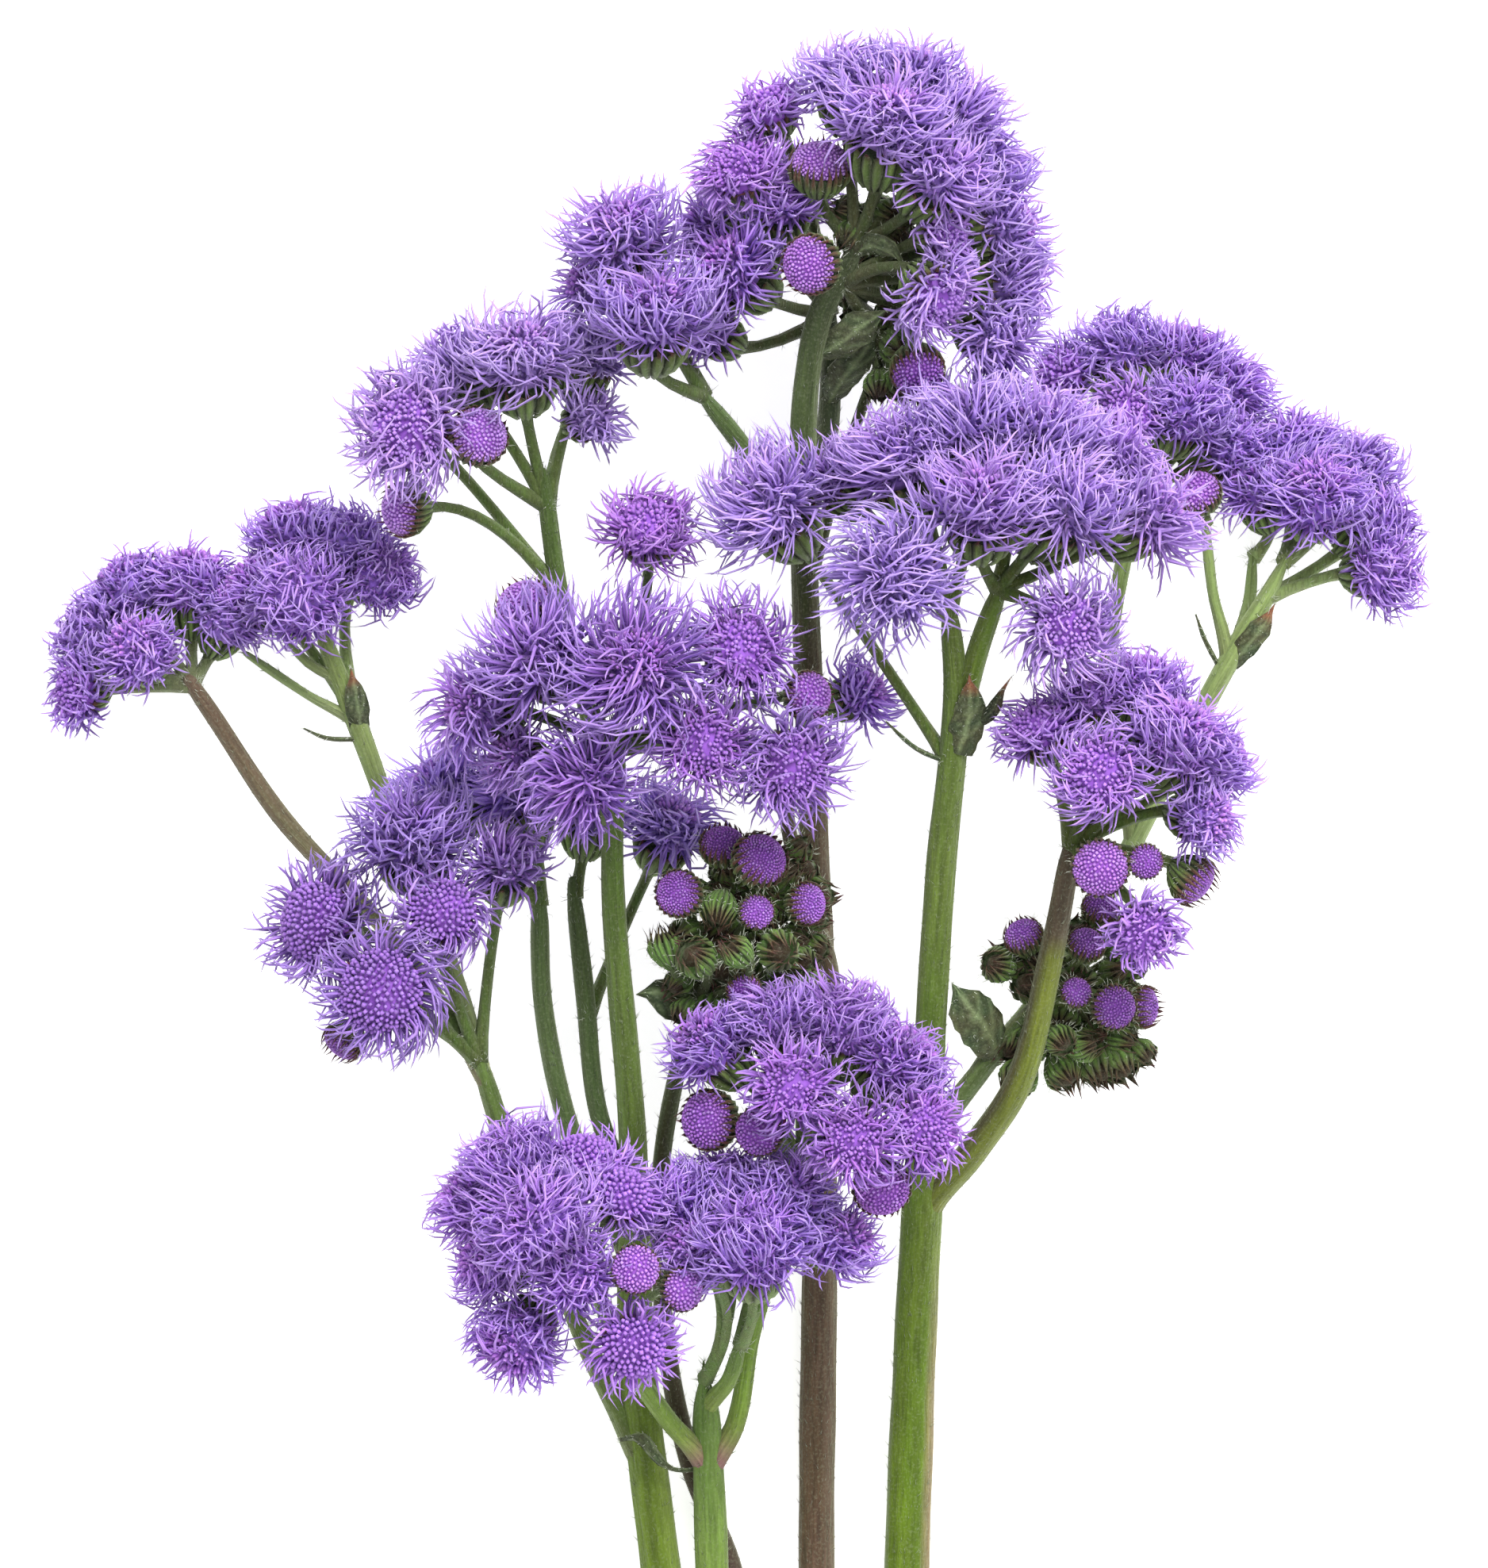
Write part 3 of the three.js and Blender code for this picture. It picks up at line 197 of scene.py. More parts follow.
        ['o', -52.6, 92.6, 5.4, 4.6], ['o', -57.2, 86.4, 10.4, 4.2, [-0.15, 0.4, 0.9]], ['o', -49, 89.6, 8, 3.9]]),
    'buds_left': dict(stem='stem_buds', aim=[-2.5, 53.8, 14], forks={'end': [-4.9, 53.4, 19.8]}, heads=[
        ['b', 1.6, 67, 27, 2.7, [0.35, 0.3, 0.87]], ['b', -6.2, 63.8, 27, 2.3, [-0.3, 0.1, 0.95]],
        ['b', 6, 62.8, 25, 2.1, [0.6, 0.05, 0.8]], ['b', 1.2, 62, 28, 1.7, [0.2, 0.1, 0.97]],
        ['b', 0, 54.6, 26, 1.7, [0.1, -0.3, 0.93]], ['b', -2, 68.4, 23, 2.2, [0, 0.6, 0.75]],
        ['g', -4.6, 57.8, 27, 2.1], ['g', 3.2, 58.4, 27, 2.1], ['g', -7.4, 59, 24, 1.9], ['g', -2.4, 62, 26.4, 1.9],
        ['g', -0.8, 58.4, 29, 1.6], ['g', 3.8, 55, 24, 1.6]]),
    'buds_right': dict(stem='stem_right', aim=[29, 50.8, 9], forks={'end': [27.9, 53.5, 16.4]}, heads=[
        ['b', 35, 53, 22, 2.2, [0.25, 0, 0.97]], ['b', 26.4, 59.8, 19, 1.9, [-0.3, 0.6, 0.75]],
        ['b', 32.4, 59, 20.5, 1.8], ['b', 33.8, 62.4, 16, 1.8, [0.2, 0.6, 0.7]],
        ['b', 38, 53, 17.6, 2, [0.85, 0, 0.45]], ['b', 31.4, 54.4, 22, 1.5], ['g', 24, 57, 18, 1.8],
        ['g', 30, 49.8, 20.6, 1.6], ['g', 32.4, 49.4, 18.6, 1.7], ['g', 30.4, 46.6, 16.6, 2],
        ['g', 36, 49.6, 16.6, 1.7], ['g', 36, 57.4, 15, 1.8]]),
}

# Points [x, y, z, half width] of each blade, and how far it is turned about its length, in degrees.
LEAVES = {
    'stem_front': [
        [[[-4.2, 9, 6.4, 0.45], [-6.8, 9.1, 9, 0.4], [-8.3, 10.5, 10.2, 0.85], [-9.6, 12.2, 10.6, 0.95],
          [-11.8, 11.8, 9.6, 0.4]], 30],
    ],
    'stem_buds': [
        [[[-5, 51.6, 18.4, 0.7], [-6.6, 53.7, 20.4, 1.7], [-8.4, 54.4, 21, 1.4], [-10.2, 54.2, 21, 0.4]], 30],
    ],
    'stem_tall': [
        [[[6.8, 114.6, 21.8, 0.6], [8.8, 115.6, 23, 1.3], [11.2, 117.4, 24.4, 1.4], [13.4, 118.8, 25, 0.5]], 10],
        [[[7.9, 110, 15.6, 0.6], [9, 112, 18.4, 1.3], [10.8, 114.4, 20.8, 1.4], [12.6, 116.8, 21.6, 0.5]], 10],
        [[[10.2, 124, 25.6, 0.5], [12, 124.9, 27.4, 1], [13.8, 124.3, 28.6, 1], [15, 123.2, 28.6, 0.4]], 10],
    ],
    'stem_right': [
        [[[24.2, 47.6, 14.4, 0.8], [23, 50.6, 17.4, 2], [21.4, 52.8, 19, 1.8], [19.7, 55.2, 19.6, 0.5]], 20],
        [[[19.3, 76.2, 24.6, 0.45], [16.4, 77.4, 26, 0.4], [13.4, 80, 26.6, 0.35]], 20],
        [[[20.2, 77, 25.8, 1.3], [21.3, 80.8, 27.6, 1.35], [21.2, 84.4, 29, 0.4]], 0],
        [[[20.8, 79.2, 25.6, 0.5], [23.4, 81, 28, 0.7], [24.4, 83, 28.2, 0.5], [25.2, 84.2, 27.8, 0.4]], 10],
        [[[46.2, 85.4, 8.8, 0.8], [48.4, 88, 10.5, 1], [49.5, 89.5, 11, 0.85], [50.4, 91.2, 11, 0.4]], 10],
        [[[45.4, 84.9, 8.4, 0.45], [43.9, 87.6, 10.2, 0.4], [42.9, 90.2, 10.8, 0.35]], 20],
    ],
    'stem_left': [
        [[[-36.4, 78.8, 9.6, 0.8], [-36.7, 81.6, 11.2, 1], [-37, 83.3, 11.7, 0.85], [-37.3, 85.1, 11.8, 0.4]], 10],
        [[[-36.4, 78.4, 9.4, 0.45], [-39.6, 78.5, 11, 0.4], [-41.8, 79.4, 11.4, 0.35]], 20],
    ],
}

# The camera's view: its middle and height in the layout, how far off it looks down from, and its sensor's width.
VIEW_MIDDLE = (0.0, 74.1, 20.0)
VIEW_HEIGHT = 148.3
VIEW_DISTANCE = 2400.0
SENSOR = 36.0

# Cup of each kind of head, as shares of its radius R: mouth radius, depth of its base, height of its mouth,
# then how many bracts it has, how far their tips rise past the mouth and how far they lean in (+) or out (-),
# how dark a bract is at its six steps, and its share of hairs.
CUPS = {
    'o': dict(mouth=0.52, deep=1.05, height=-0.3, bracts=17, rise=0.16, lean=-0.04,
             dark=(0, 0, 0, 0.3, 0.85, 1), hairs=0.5),
    'h': dict(mouth=0.58, deep=0.8, height=-0.1, bracts=20, rise=0.2, lean=-0.05,
             dark=(0, 0, 0.05, 0.8, 1, 1), hairs=0.7),
    'd': dict(mouth=0.98, deep=1.25, height=-0.02, bracts=25, rise=0.66, lean=0.2,
             dark=(0, 0, 0.05, 0.8, 1, 1), hairs=1.2),
    'b': dict(mouth=0.99, deep=1.3, height=0.02, bracts=24, rise=0.78, lean=0.34,
             dark=(0, 0, 0.05, 0.8, 1, 1), hairs=3.4),
    'g': dict(mouth=0.94, deep=1.35, height=0.1, bracts=22, rise=0.95, lean=0.84,
             dark=(0, 0, 0, 0.15, 0.7, 1), hairs=3.4),
}
# Stalks under the heads; one longer than this bends more.
STALK_RADIUS, LONG_STALK = 0.52, 12.0

# Colour of each shoot at its root and tip, and how much brown stain it carries.
SHOOTS = {
    'stem_left': {'': ('#658014', '#50682a', 0.12), 'far_left_shoot': ('#8a9862', '#63513f', 0.6),
                  'second_left_shoot': ('#8f9f66', '#788c4c', 0.15), 'left_shoot': ('#5f7634', '#5a7134', 0.2),
                  'fan_stalk': ('#8ea268', '#869b60', 0.1), 'fan_stalk_right': ('#849a5c', '#7e9456', 0.1),
                  'hidden_shoot': ('#50662d', '#50682f', 0.1), 'back_shoot': ('#54693a', '#506538', 0.1),
                  'back_shoot_right': ('#4d6234', '#4a5f33', 0.1)},
    'stem_front': {'': ('#82a03c', '#62803a', 0.12)},
    'stem_buds': {'': ('#4e3c35', '#4b5534', 0.55)},
    'stem_tall': {'': ('#563f2d', '#3a4220', 0.6), 'crown_shoot': ('#5a6f3a', '#323e24', 0.12),
                  'second_shoot': ('#38452a', '#38442a', 0.15), 'left_shoot': ('#566b38', '#56703a', 0.1),
                  'low_shoot': ('#5b4b3c', '#4c4030', 0.6)},
    'stem_right': {'': ('#58720a', '#556c28', 0.12), 'right_shoot': ('#697622', '#55493a', 0.15),
                   'far_right_shoot': ('#9cb276', '#849a58', 0.15), 'second_right_shoot': ('#80965a', '#768c4c', 0.1),
                   'outer_stalk': ('#7f9554', '#7d9353', 0.1), 'inner_stalk': ('#6d8348', '#667c44', 0.1),
                   'bud_shoot': ('#5a6e3c', '#4c5e34', 0.2)},
}
# Thin stalks of the scene alone, and the colour of the stalks under each spray where it isn't the stem's.
THIN_STALKS = {'stem_left': {
    'fan_stalk': [[-36.9, 79.4, 9.6, 0.5], [-41.5, 82.6, 9, 0.42], [-47.2, 86.4, 8, 0.5]],
    'fan_stalk_right': [[-38.6, 83.6, 10.2, 0.5], [-41.4, 85.6, 9.8, 0.42], [-44, 88.4, 9, 0.5]]}}
STALK_TONES = {'right': '#869c5e', 'far_right': '#869c5e', 'left': '#7c9355', 'far_left': '#6f7a52',
               'upper_left': '#5f7838', 'upper_middle': '#5c7438'}
# Shoots with a coloured side: which way it faces, its colour, how strong it is, how wide, and where it ends. Most are
# brown stains; the left stem's trunk carries a painted highlight, and the right shoot partly painted shade.
SIDE_STAINS_AND_SHADING = {
    ('stem_right', 'trunk'): ((1.0, 0.0, 0.1), '#84694f', 0.9, 0.66, 0.5),
    ('stem_front', 'trunk'): ((-1.0, 0.0, 0.0), '#5d4434', 0.8, 0.62, 0.35),
    ('stem_tall', 'trunk'): ((1.0, 0.0, 0.1), '#6b5a4c', 0.6, 0.4, 0.9),
    # A lighter green on the side that faces the light: painted highlight.
    ('stem_left', 'trunk'): ((0.8, 0.0, 0.6), '#90a350', 0.55, 0.75, 0.5),
    # A dark side: partly brown stain, partly painted shade.
    ('stem_right', 'right_shoot'): ((-1.0, 0.5, 0.0), '#2c2515', 0.9, 0.2, 0.95),
}
# Where along a shoot its colour changes, and over how long a share of it; others change evenly.
CHANGES = {('stem_right', 'right_shoot'): (0.74, 0.06)}
# How much an end narrows, and over how many millimetres; others follow the last row.
TAPERS = {('stem_left', 'far_left_shoot'): (0.12, 2.2), ('stem_front', 'trunk'): (0.86, 3.2), '': (0.4, 2.2)}
# Shoots that are pink where they leave their stem.
PINK_ROOTS = (('stem_front', 'left_shoot'), ('stem_front', 'right_shoot'))
# Extra closed buds that crowd in: their spray, how many, the fork that they grow from, and the middle and half widths
# of the space they fill.
CROWDS = (('buds_left', 40, 'end', (0.2, 60.2, 22.4), (7.0, 8.0, 2.4)),
          ('buds_left', 10, 'end', (-0.4, 62.8, 21.6), (5.2, 1.6, 0.8)),
          ('buds_right', 36, 'end', (31.4, 53.0, 16.2), (6.8, 7.0, 2.0)),
          ('crown', 13, 'low', (12.6, 116.5, 20.5), (4.4, 5.6, 2.0)),
          ('crown', 10, 'top', (12.4, 127.2, 24.4), (3.4, 3.0, 1.2)))

# Each spray's florets: how pale they are, and how blue (+) or rosy (-).
TINTS = {'lower_left': (0.2, -0.25), 'lower_middle': (0.1, -0.12), 'middle_low': (0.05, -0.25), 'middle': (0.1, -0.1),
         'middle_top': (0.05, -0.5), 'right_middle': (0.22, -0.28), 'centre': (0.7, -0.14), 'crown': (0.6, -0.05),
         'crown_left': (0.1, -0.1), 'nodding': (0.0, -0.1), 'upper_left': (0.85, -0.1), 'upper_middle': (0.35, -0.05),
         # middle_back and stray are paler partly as painted light against the shade of the heads above them.
         'left_front': (0.15, 0.05), 'middle_back': (0.35, 0.25), 'stray': (0.25, 0.2), 'right': (0.2, 0.02),
         'far_right': (0.2, 0.0), 'left': (0.15, -0.02), 'far_left': (0.2, -0.05), 'buds_left': (0.1, -0.3),
         'buds_right': (0.05, -0.15)}

# How much further the threads of some sprays reach, and how many more there are.
REACHES = {'centre': 1.1, 'crown': 1.05, 'middle': 1.12, 'stray': 1.05}
FULLER = {'centre': 1.12}
# Sprays whose discs are darker, and those whose half-open heads have neat domes.
DARK_DISCS = ('nodding', 'middle_low', 'left_front')
NEAT_DOMES = ('left_front', 'lower_left')
# How much lighter each spray is; the extra lightness of middle_back and stray is painted light against the shade of the
# heads above them.
BRIGHT = {'lower_left': 1.13, 'lower_middle': 1.1, 'middle_low': 1.03, 'left_front': 0.88, 'crown': 1.03,
          'right_middle': 1.08, 'right': 1.04, 'centre': 1.06, 'middle': 0.92, 'middle_back': 1.2, 'stray': 1.12,
          'buds_left': 1.12, 'upper_left': 1.02}
# How far out the threads begin, as a share of R; where that is further than LONG_ROOT they are short and finer.
ROOTS = {'left': 0.68, 'far_left': 0.68, 'right': 0.6, 'far_right': 0.6, 'right_middle': 0.58, 'lower_left': 0.62,
         'lower_middle': 0.62, 'middle_low': 0.6}
LONG_ROOT, FINER = 0.48, 0.86
THREADS, SHORT_FLORETS, FULL_RADIUS = 256, 260, 6  # how many there are on an open head of this radius
THREAD_RADIUS = 0.2
DISC_BEAD, BUD_BEAD, HALF_BEAD = 0.205, 0.15, 0.24
CUP_HAIRS, STALK_HAIRS, STEM_HAIRS, FORK_HAIRS = 32, 2.2, 6.0, 24  # per cup, per mm of stalk and of stem, per fork
HAIR_RADIUS = 0.026
GRAIN_HEIGHT = 0.0003  # in metres, as a bump
STEM_HAIR, FORK_HAIR, CUP_HAIR, STALK_HAIR, LEAF_HAIR = 0.75, 0.9, 0.85, 0.6, 0.5  # lengths
WOOL_RADIUS = 0.85
RING_STEP, LEAF_STEP, TOOTH = 1.1, 0.7, 1.1  # between the rings of a shoot and the rows of a leaf, and a tooth's length
THICK_SHOOT = 1.3  # one thicker than this has more sides
BLUSH, FAINT_BLUSH = 0.95, 0.12  # how pink a shoot is where it leaves its stem
COMBED = {'o': 0.5, 'h': 0.1}  # how far the florets of each kind of head stand up off their cup's axis
GOLDEN = math.pi * (3 - math.sqrt(5))


def light(code):
    """Linear colour of a #rrggbb code."""
    parts = np.array([int(code[k:k + 2], 16) / 255 for k in (1, 3, 5)])
    return np.where(parts <= 0.04045, parts / 12.92, ((parts + 0.055) / 1.055) ** 2.4)


# DEEP is painted shade at the roots of the threads and in the middles of heads; VIOLET and LAVENDER are the threads'
# middle and tip colours.
DEEP, VIOLET, LAVENDER = light('#7a4ab8'), light('#9560cd'), light('#aa85dc')
ROSE, PALE, BLUISH = light('#b069c8'), light('#cab8e8'), light('#7f74d0')
# BEAD_LIGHT is a painted highlight on the tips of closed florets, and also the paler tone that pale discs are mixed
# towards.
BEAD_ROOT, BEAD_TOP, BEAD_LIGHT = light('#7d3fa8'), light('#a963cc'), light('#c28ae0')
CUP_DARK, CUP_RIB, BRACT_TIP, CUP_BODY = light('#2d411d'), light('#6d8a42'), light('#560e28'), light('#26361b')
AXIL, STALK_END, SPECK = light('#94606c'), light('#4f6a38'), light('#c3cba8')
# A green bud bract's edges and midrib; the dark edges are partly painted shade, the light midrib partly real rib.
BUD_DARK, BUD_RIB = light('#3f5b27'), light('#6e9942')
HAIR, PITH, LEAF, LEAF_VEIN = light('#dde2d0'), light('#c7d3a4'), light('#28361f'), light('#74865c')
PAPERY, WITHERED = light('#8f5138'), light('#1d1a13')
# Blades with a dry tip, by stem and row.
LEAF_TIPS = {('stem_right', 2): PAPERY, ('stem_right', 3): WITHERED, ('stem_right', 4): PAPERY,
             ('stem_left', 0): PAPERY}


# ---- small vector help ----
def unit(v):
    v = np.asarray(v, float)
    return v / np.maximum(np.linalg.norm(v, axis=-1, keepdims=True), 1e-9)


def square(v):
    """A unit vector square to v."""
    return unit(np.cross(v, [0, 0, 1.0] if abs(v[2]) < 0.9 else [1.0, 0, 0]))


def mix(a, b, k):
    """A share k of the way from a to b; k may be a number for each point."""
    k = np.asarray(k, float)
    if k.ndim:
        k = k[..., None]
    return a + (b - a) * k


def ease(k):
    """A soft step from 0 to 1."""
    k = np.clip(k, 0, 1)
    return k * k * (3 - 2 * k)


def spread(count, top, bottom, turn):
    """Unit directions spread evenly from height top to height bottom of a ball."""
    k = np.arange(count) + 0.5
    z = top - (top - bottom) * k / count
    r = np.sqrt(1 - z * z)
    return np.stack([r * np.cos(k * GOLDEN + turn), r * np.sin(k * GOLDEN + turn), z], -1)


def stirred(d, amount, rng):
    """Directions d, each turned a little at random."""
    return unit(d + rng.normal(0, amount, d.shape))


class Heap:
    """Points, triangles and point values of one piece, gathered before its mesh is made."""

    def __init__(self):
        self.points, self.triangles, self.paint, self.grain, self.count = [], [], [], [], 0

    def add(self, points, triangles, colour, grain=None, stain=0.0):
        points = np.asarray(points, float).reshape(-1, 3)
        colour = np.broadcast_to(colour, points.shape[:1] + (3,))
        stain = np.broadcast_to(stain, points.shape[:1])[:, None]
        self.points.append(points)
        self.triangles.append(np.asarray(triangles).reshape(-1, 3) + self.count)
        self.paint.append(np.concatenate([colour, stain], 1))
        self.grain.append(points if grain is None else np.broadcast_to(grain, points.shape))
        self.count += len(points)

    def piece(self, name, material):
        points = np.concatenate(self.points)
        points[:, 2] = np.maximum(points[:, 2], 0)
        triangles = np.concatenate(self.triangles)
        mesh = bpy.data.meshes.new(name)
        mesh.vertices.add(len(points))
        mesh.vertices.foreach_set('co', ((points - ORIGIN) * MM).ravel())
        mesh.loops.add(triangles.size)
        mesh.loops.foreach_set('vertex_index', triangles.ravel())
        mesh.polygons.add(len(triangles))
        mesh.polygons.foreach_set('loop_start', np.arange(0, triangles.size, 3))
        mesh.polygons.foreach_set('use_smooth', np.ones(len(triangles), bool))
        mesh.update(calc_edges=True)
        for key, kind, field, values in (('paint', 'FLOAT_COLOR', 'color', self.paint),
                                         ('grain', 'FLOAT_VECTOR', 'vector', self.grain)):
            mesh.attributes.new(key, kind, 'POINT').data.foreach_set(field, np.concatenate(values).ravel())
        mesh.materials.append(material)
        made = bpy.data.objects.new(name, mesh)
        bpy.context.scene.collection.objects.link(made)
        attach(made, 'root')
        return made


def around(angle, side, up):
    """Directions at these angles about an axis that is square to 'side' and 'up'."""
    return np.cos(angle)[..., None] * side + np.sin(angle)[..., None] * up


def tube_faces(rings, sides):
    """Triangles between rings of points that follow each other, and the numbers of a ring's points and the next."""
    k, j = np.arange(sides), (np.arange(sides) + 1) % sides
    faces = []
    for i in range(rings - 1):
        a, b = i * sides + k, i * sides + j
        faces += [np.stack([a, b, b + sides], 1), np.stack([a, b + sides, a + sides], 1)]
    return faces, k, j


def fan(a, b, middle):
    """Triangles from pairs of points to one point."""
    return np.stack([a, b, np.full(len(a), middle)], 1)


def bent(start, pull, end, t):
    """Places at shares t of a line from start to end, bent towards pull."""
    return (1 - t) ** 2 * start + 2 * t * (1 - t) * pull + t * t * end


def strands(paths, widths, sides=3, flat=1.0, up=None):
    """Closed strands that end in a point. paths: (count, steps, 3); widths: (count, steps) radii.
    'up' is where the first corner of each ring looks; 'flat' is the ring's depth that way against its width."""
    count, steps = paths.shape[:2]
    ahead = unit(np.gradient(paths, axis=1))
    if up is None:
        up = np.stack([square(v) for v in ahead[:, 0]])
    up = up if up.ndim == 3 else np.repeat(up[:, None], steps, 1)
    side = unit(np.cross(ahead, up))
    rise = np.cross(side, ahead)
    angle = math.pi / 2 + 2 * math.pi * np.arange(sides) / sides
    offset = np.cos(angle)[:, None] * side[:, :-1, None] + flat * np.sin(angle)[:, None] * rise[:, :-1, None]
    rings = paths[:, :-1, None] + widths[:, :-1, None, None] * offset
    points = np.concatenate([rings.reshape(count, -1, 3), paths[:, -1:]], 1)
    faces, k, j = tube_faces(steps - 1, sides)
    last = (steps - 2) * sides
    faces = np.concatenate(faces + [fan(last + k, last + j, last + sides),
                                    [[0, i + 1, i] for i in range(1, sides - 1)]])
    faces = (faces[None] + (np.arange(count) * points.shape[1])[:, None, None]).reshape(-1, 3)
    along = np.concatenate([np.repeat(np.arange(steps - 1), sides), [steps - 1]])
    return points, faces, along


def smooth_path(points, step):
    """A smooth line through points [x, y, z, radius], with a point about every 'step'."""
    p = np.asarray(points, float)
    p = np.concatenate([[2 * p[0] - p[1]], p, [2 * p[-1] - p[-2]]])
    out = []
    for a, b, c, d in zip(p, p[1:], p[2:], p[3:]):
        n = max(2, int(np.linalg.norm((c - b)[:3]) / step))
        t = (np.arange(n) / n)[:, None]
        before, after = np.linalg.norm((b - a)[:3]), np.linalg.norm((d - c)[:3])
        here = np.linalg.norm((c - b)[:3])
        leave = ((c - b) / here + (b - a) / before) / 2 * here
        arrive = ((d - c) / after + (c - b) / here) / 2 * here
        out.append((2 * t**3 - 3 * t**2 + 1) * b + (t**3 - 2 * t**2 + t) * leave
                   + (3 * t**2 - 2 * t**3) * c + (t**3 - t**2) * arrive)
    return np.concatenate(out + [p[-2:-1]])


def frames(places):
    """Directions ahead, to the side and up at each place, turned as little as possible from one to the next."""
    ahead = unit(np.gradient(places, axis=0))
    side, sides = square(ahead[0]), []
    for a in ahead:
        side = unit(side - a * np.dot(side, a))
        sides.append(side)
    return ahead, np.array(sides), np.cross(ahead, sides)


def hairs(heap, roots, out, on, length, rng, curly=True, tone=HAIR, lie=0.45):
    """Fine hairs that stand out from roots and lean along 'on', the more so the larger 'lie' is."""
    n = len(roots)
    if not n:
        return
    reach = length * rng.uniform(0.55, 1.25, n)[:, None]
    end = roots + reach * unit(out * 0.8 + on * lie + rng.normal(0, 0.35, (n, 3)))
    bend = (roots + end) / 2 + reach * rng.normal(0, 0.16, (n, 3))
    paths = np.stack([roots - out * 0.05, bend, end] if curly else [roots - out * 0.05, end], 1)
    widths = np.tile([HAIR_RADIUS * 1.25, HAIR_RADIUS, 0.0] if curly else [HAIR_RADIUS * 1.4, 0.0], (n, 1))
    heap.add(*strands(paths, widths)[:2], tone)


# ---- green pieces ----
def rooted(points, others):
    """The same shoot, started further down inside the one that it grows from."""
    root, radius = np.array(points[0][:3], float), points[0][3]
    paths = [smooth_path(other, 1.0) for other in others]
    away = [np.linalg.norm(path[:, :3] - root, axis=1) for path in paths]
    which = int(np.argmin([a.min() for a in away]))
    path, at = paths[which], int(away[which].argmin())
    below = path[max(0, at - int(1.5 + 2.2 * radius))]
    low = [*below[:3], min(0.8 * radius, 0.8 * below[3])]
    start = [*(0.45 * root + 0.55 * path[at, :3]), radius]
    return ([low] if np.linalg.norm(below[:3] - start[:3]) > 1 else []) + [start] + points[1:]


def shoot(heap, points, sides, root, tip, stain, cut, hairy, side_stain_and_shading, change, taper, blush, rng):
    """A ribbed, tapered shoot, painted from its root to its tip. cut: its lower end is a cut through the pith."""
    path = smooth_path(points, RING_STEP)
    ahead = unit(path[-1, :3] - path[-2, :3])
    knob = [np.append(path[-1, :3] + ahead * path[-1, 3] * k, path[-1, 3] * w) for k, w in ((0.5, 0.8), (0.9, 0.5))]
    path = np.concatenate([path, knob])
    places, radius = path[:, :3], path[:, 3].copy()
    run = np.concatenate([[0], np.cumsum(np.linalg.norm(np.diff(places, axis=0), axis=1))])
    ahead, side, up = frames(places)
    phase = rng.uniform(0, 6.28, 4)
    radius *= 1 + 0.025 * np.sin(run / 5.3 + phase[0]) + 0.015 * np.sin(run / 1.9 + phase[1])
    if not cut:
        radius *= 1 + 0.12 * np.exp(-((run - 4.5) / 2.0) ** 2)
    radius *= 1 - taper[0] * np.exp(-((run[-1] - run) / taper[1]) ** 2)
    angle = 2 * math.pi * np.arange(sides) / sides
    ribs = 1 + 0.035 * np.cos(5 * angle + phase[2] + run[:, None] * 0.01)  # five broad ribs and nine fine ones
    ribs = ribs + 0.018 * np.cos(9 * angle + phase[3])
    ring_points = places[:, None] + (radius[:, None] * ribs)[..., None] * around(angle, side[:, None], up[:, None])
    grain = np.stack(np.broadcast_arrays(np.cos(angle)[None] * 1.3 + phase[0] * 9,
                                         np.sin(angle)[None] * 1.3 + phase[1] * 9, run[:, None] / 12), -1)
    share = run / run[-1]
    colour = np.repeat(mix(root, tip, ease((share - change[0]) / change[1]))[:, None], sides, 1)
    colour = colour * (1 - 0.12 * np.cos(5 * angle + phase[2]) + 0.07 * np.cos(9 * angle + phase[3]))[None, :, None]
    # A coloured side along the shoot: a brown stain on most, a painted highlight on the left stem's trunk, partly
    # painted shade on the right shoot.
    if side_stain_and_shading:
        faces_to, tone, strength, narrow, end = side_stain_and_shading
        facing = unit(ring_points - places[:, None]) @ unit(faces_to)
        colour = mix(colour, light(tone), ease((facing - narrow) / 0.3) * strength * ease((end - share) / 0.2)[:, None])
    if not cut:
        colour = mix(colour, AXIL, blush * np.exp(-(np.maximum(run - 3.5, 0) / 3.0) ** 2)[:, None] * np.ones(sides))
    first = np.concatenate([places[0] + 0.82 * (ring_points[0] - places[0]), places[:1] - 0.12 * ahead[0]])
    last = places[-1:] + ahead[-1] * radius[-1] * 0.3
    n = len(places)
    all_points = np.concatenate([ring_points.reshape(-1, 3), first, last])
    colours = np.concatenate([colour.reshape(-1, 3), np.repeat(PITH[None] * (0.8 if cut else 0.3), sides, 0),
                              PITH[None], colour[-1, :1]])
    grains = np.concatenate([grain.reshape(-1, 3), grain[0], grain[0, :1], grain[-1, :1]])
    faces, k, j = tube_faces(n, sides)
    cap = n * sides
    faces += [np.stack([j, k, cap + k], 1), np.stack([j, cap + k, cap + j], 1), fan(cap + j, cap + k, cap + sides)]
    faces.append(fan(cap - sides + k, cap - sides + j, cap + sides + 1))
    heap.add(all_points, np.concatenate(faces), colours, grains, stain)
    count = int(run[-1] * STEM_HAIRS * hairy)
    at = rng.integers(0, n, count)
    turn = rng.uniform(0, 6.28, count)
    out = around(turn, side[at], up[at])
    hairs(heap, places[at] + out * radius[at, None], out, ahead[at], STEM_HAIR, rng, False,
          mix(mix(root, tip, 0.5), HAIR, 0.36), 1.5)


def wool(heap, place, rng):
    """Pale curly hairs where stalks leave a stem."""
    way = unit(rng.normal(0, 1, (FORK_HAIRS, 3)))
    hairs(heap, np.array(place) + way * WOOL_RADIUS * rng.uniform(0.6, 1.1, (FORK_HAIRS, 1)), way, way, FORK_HAIR, rng)


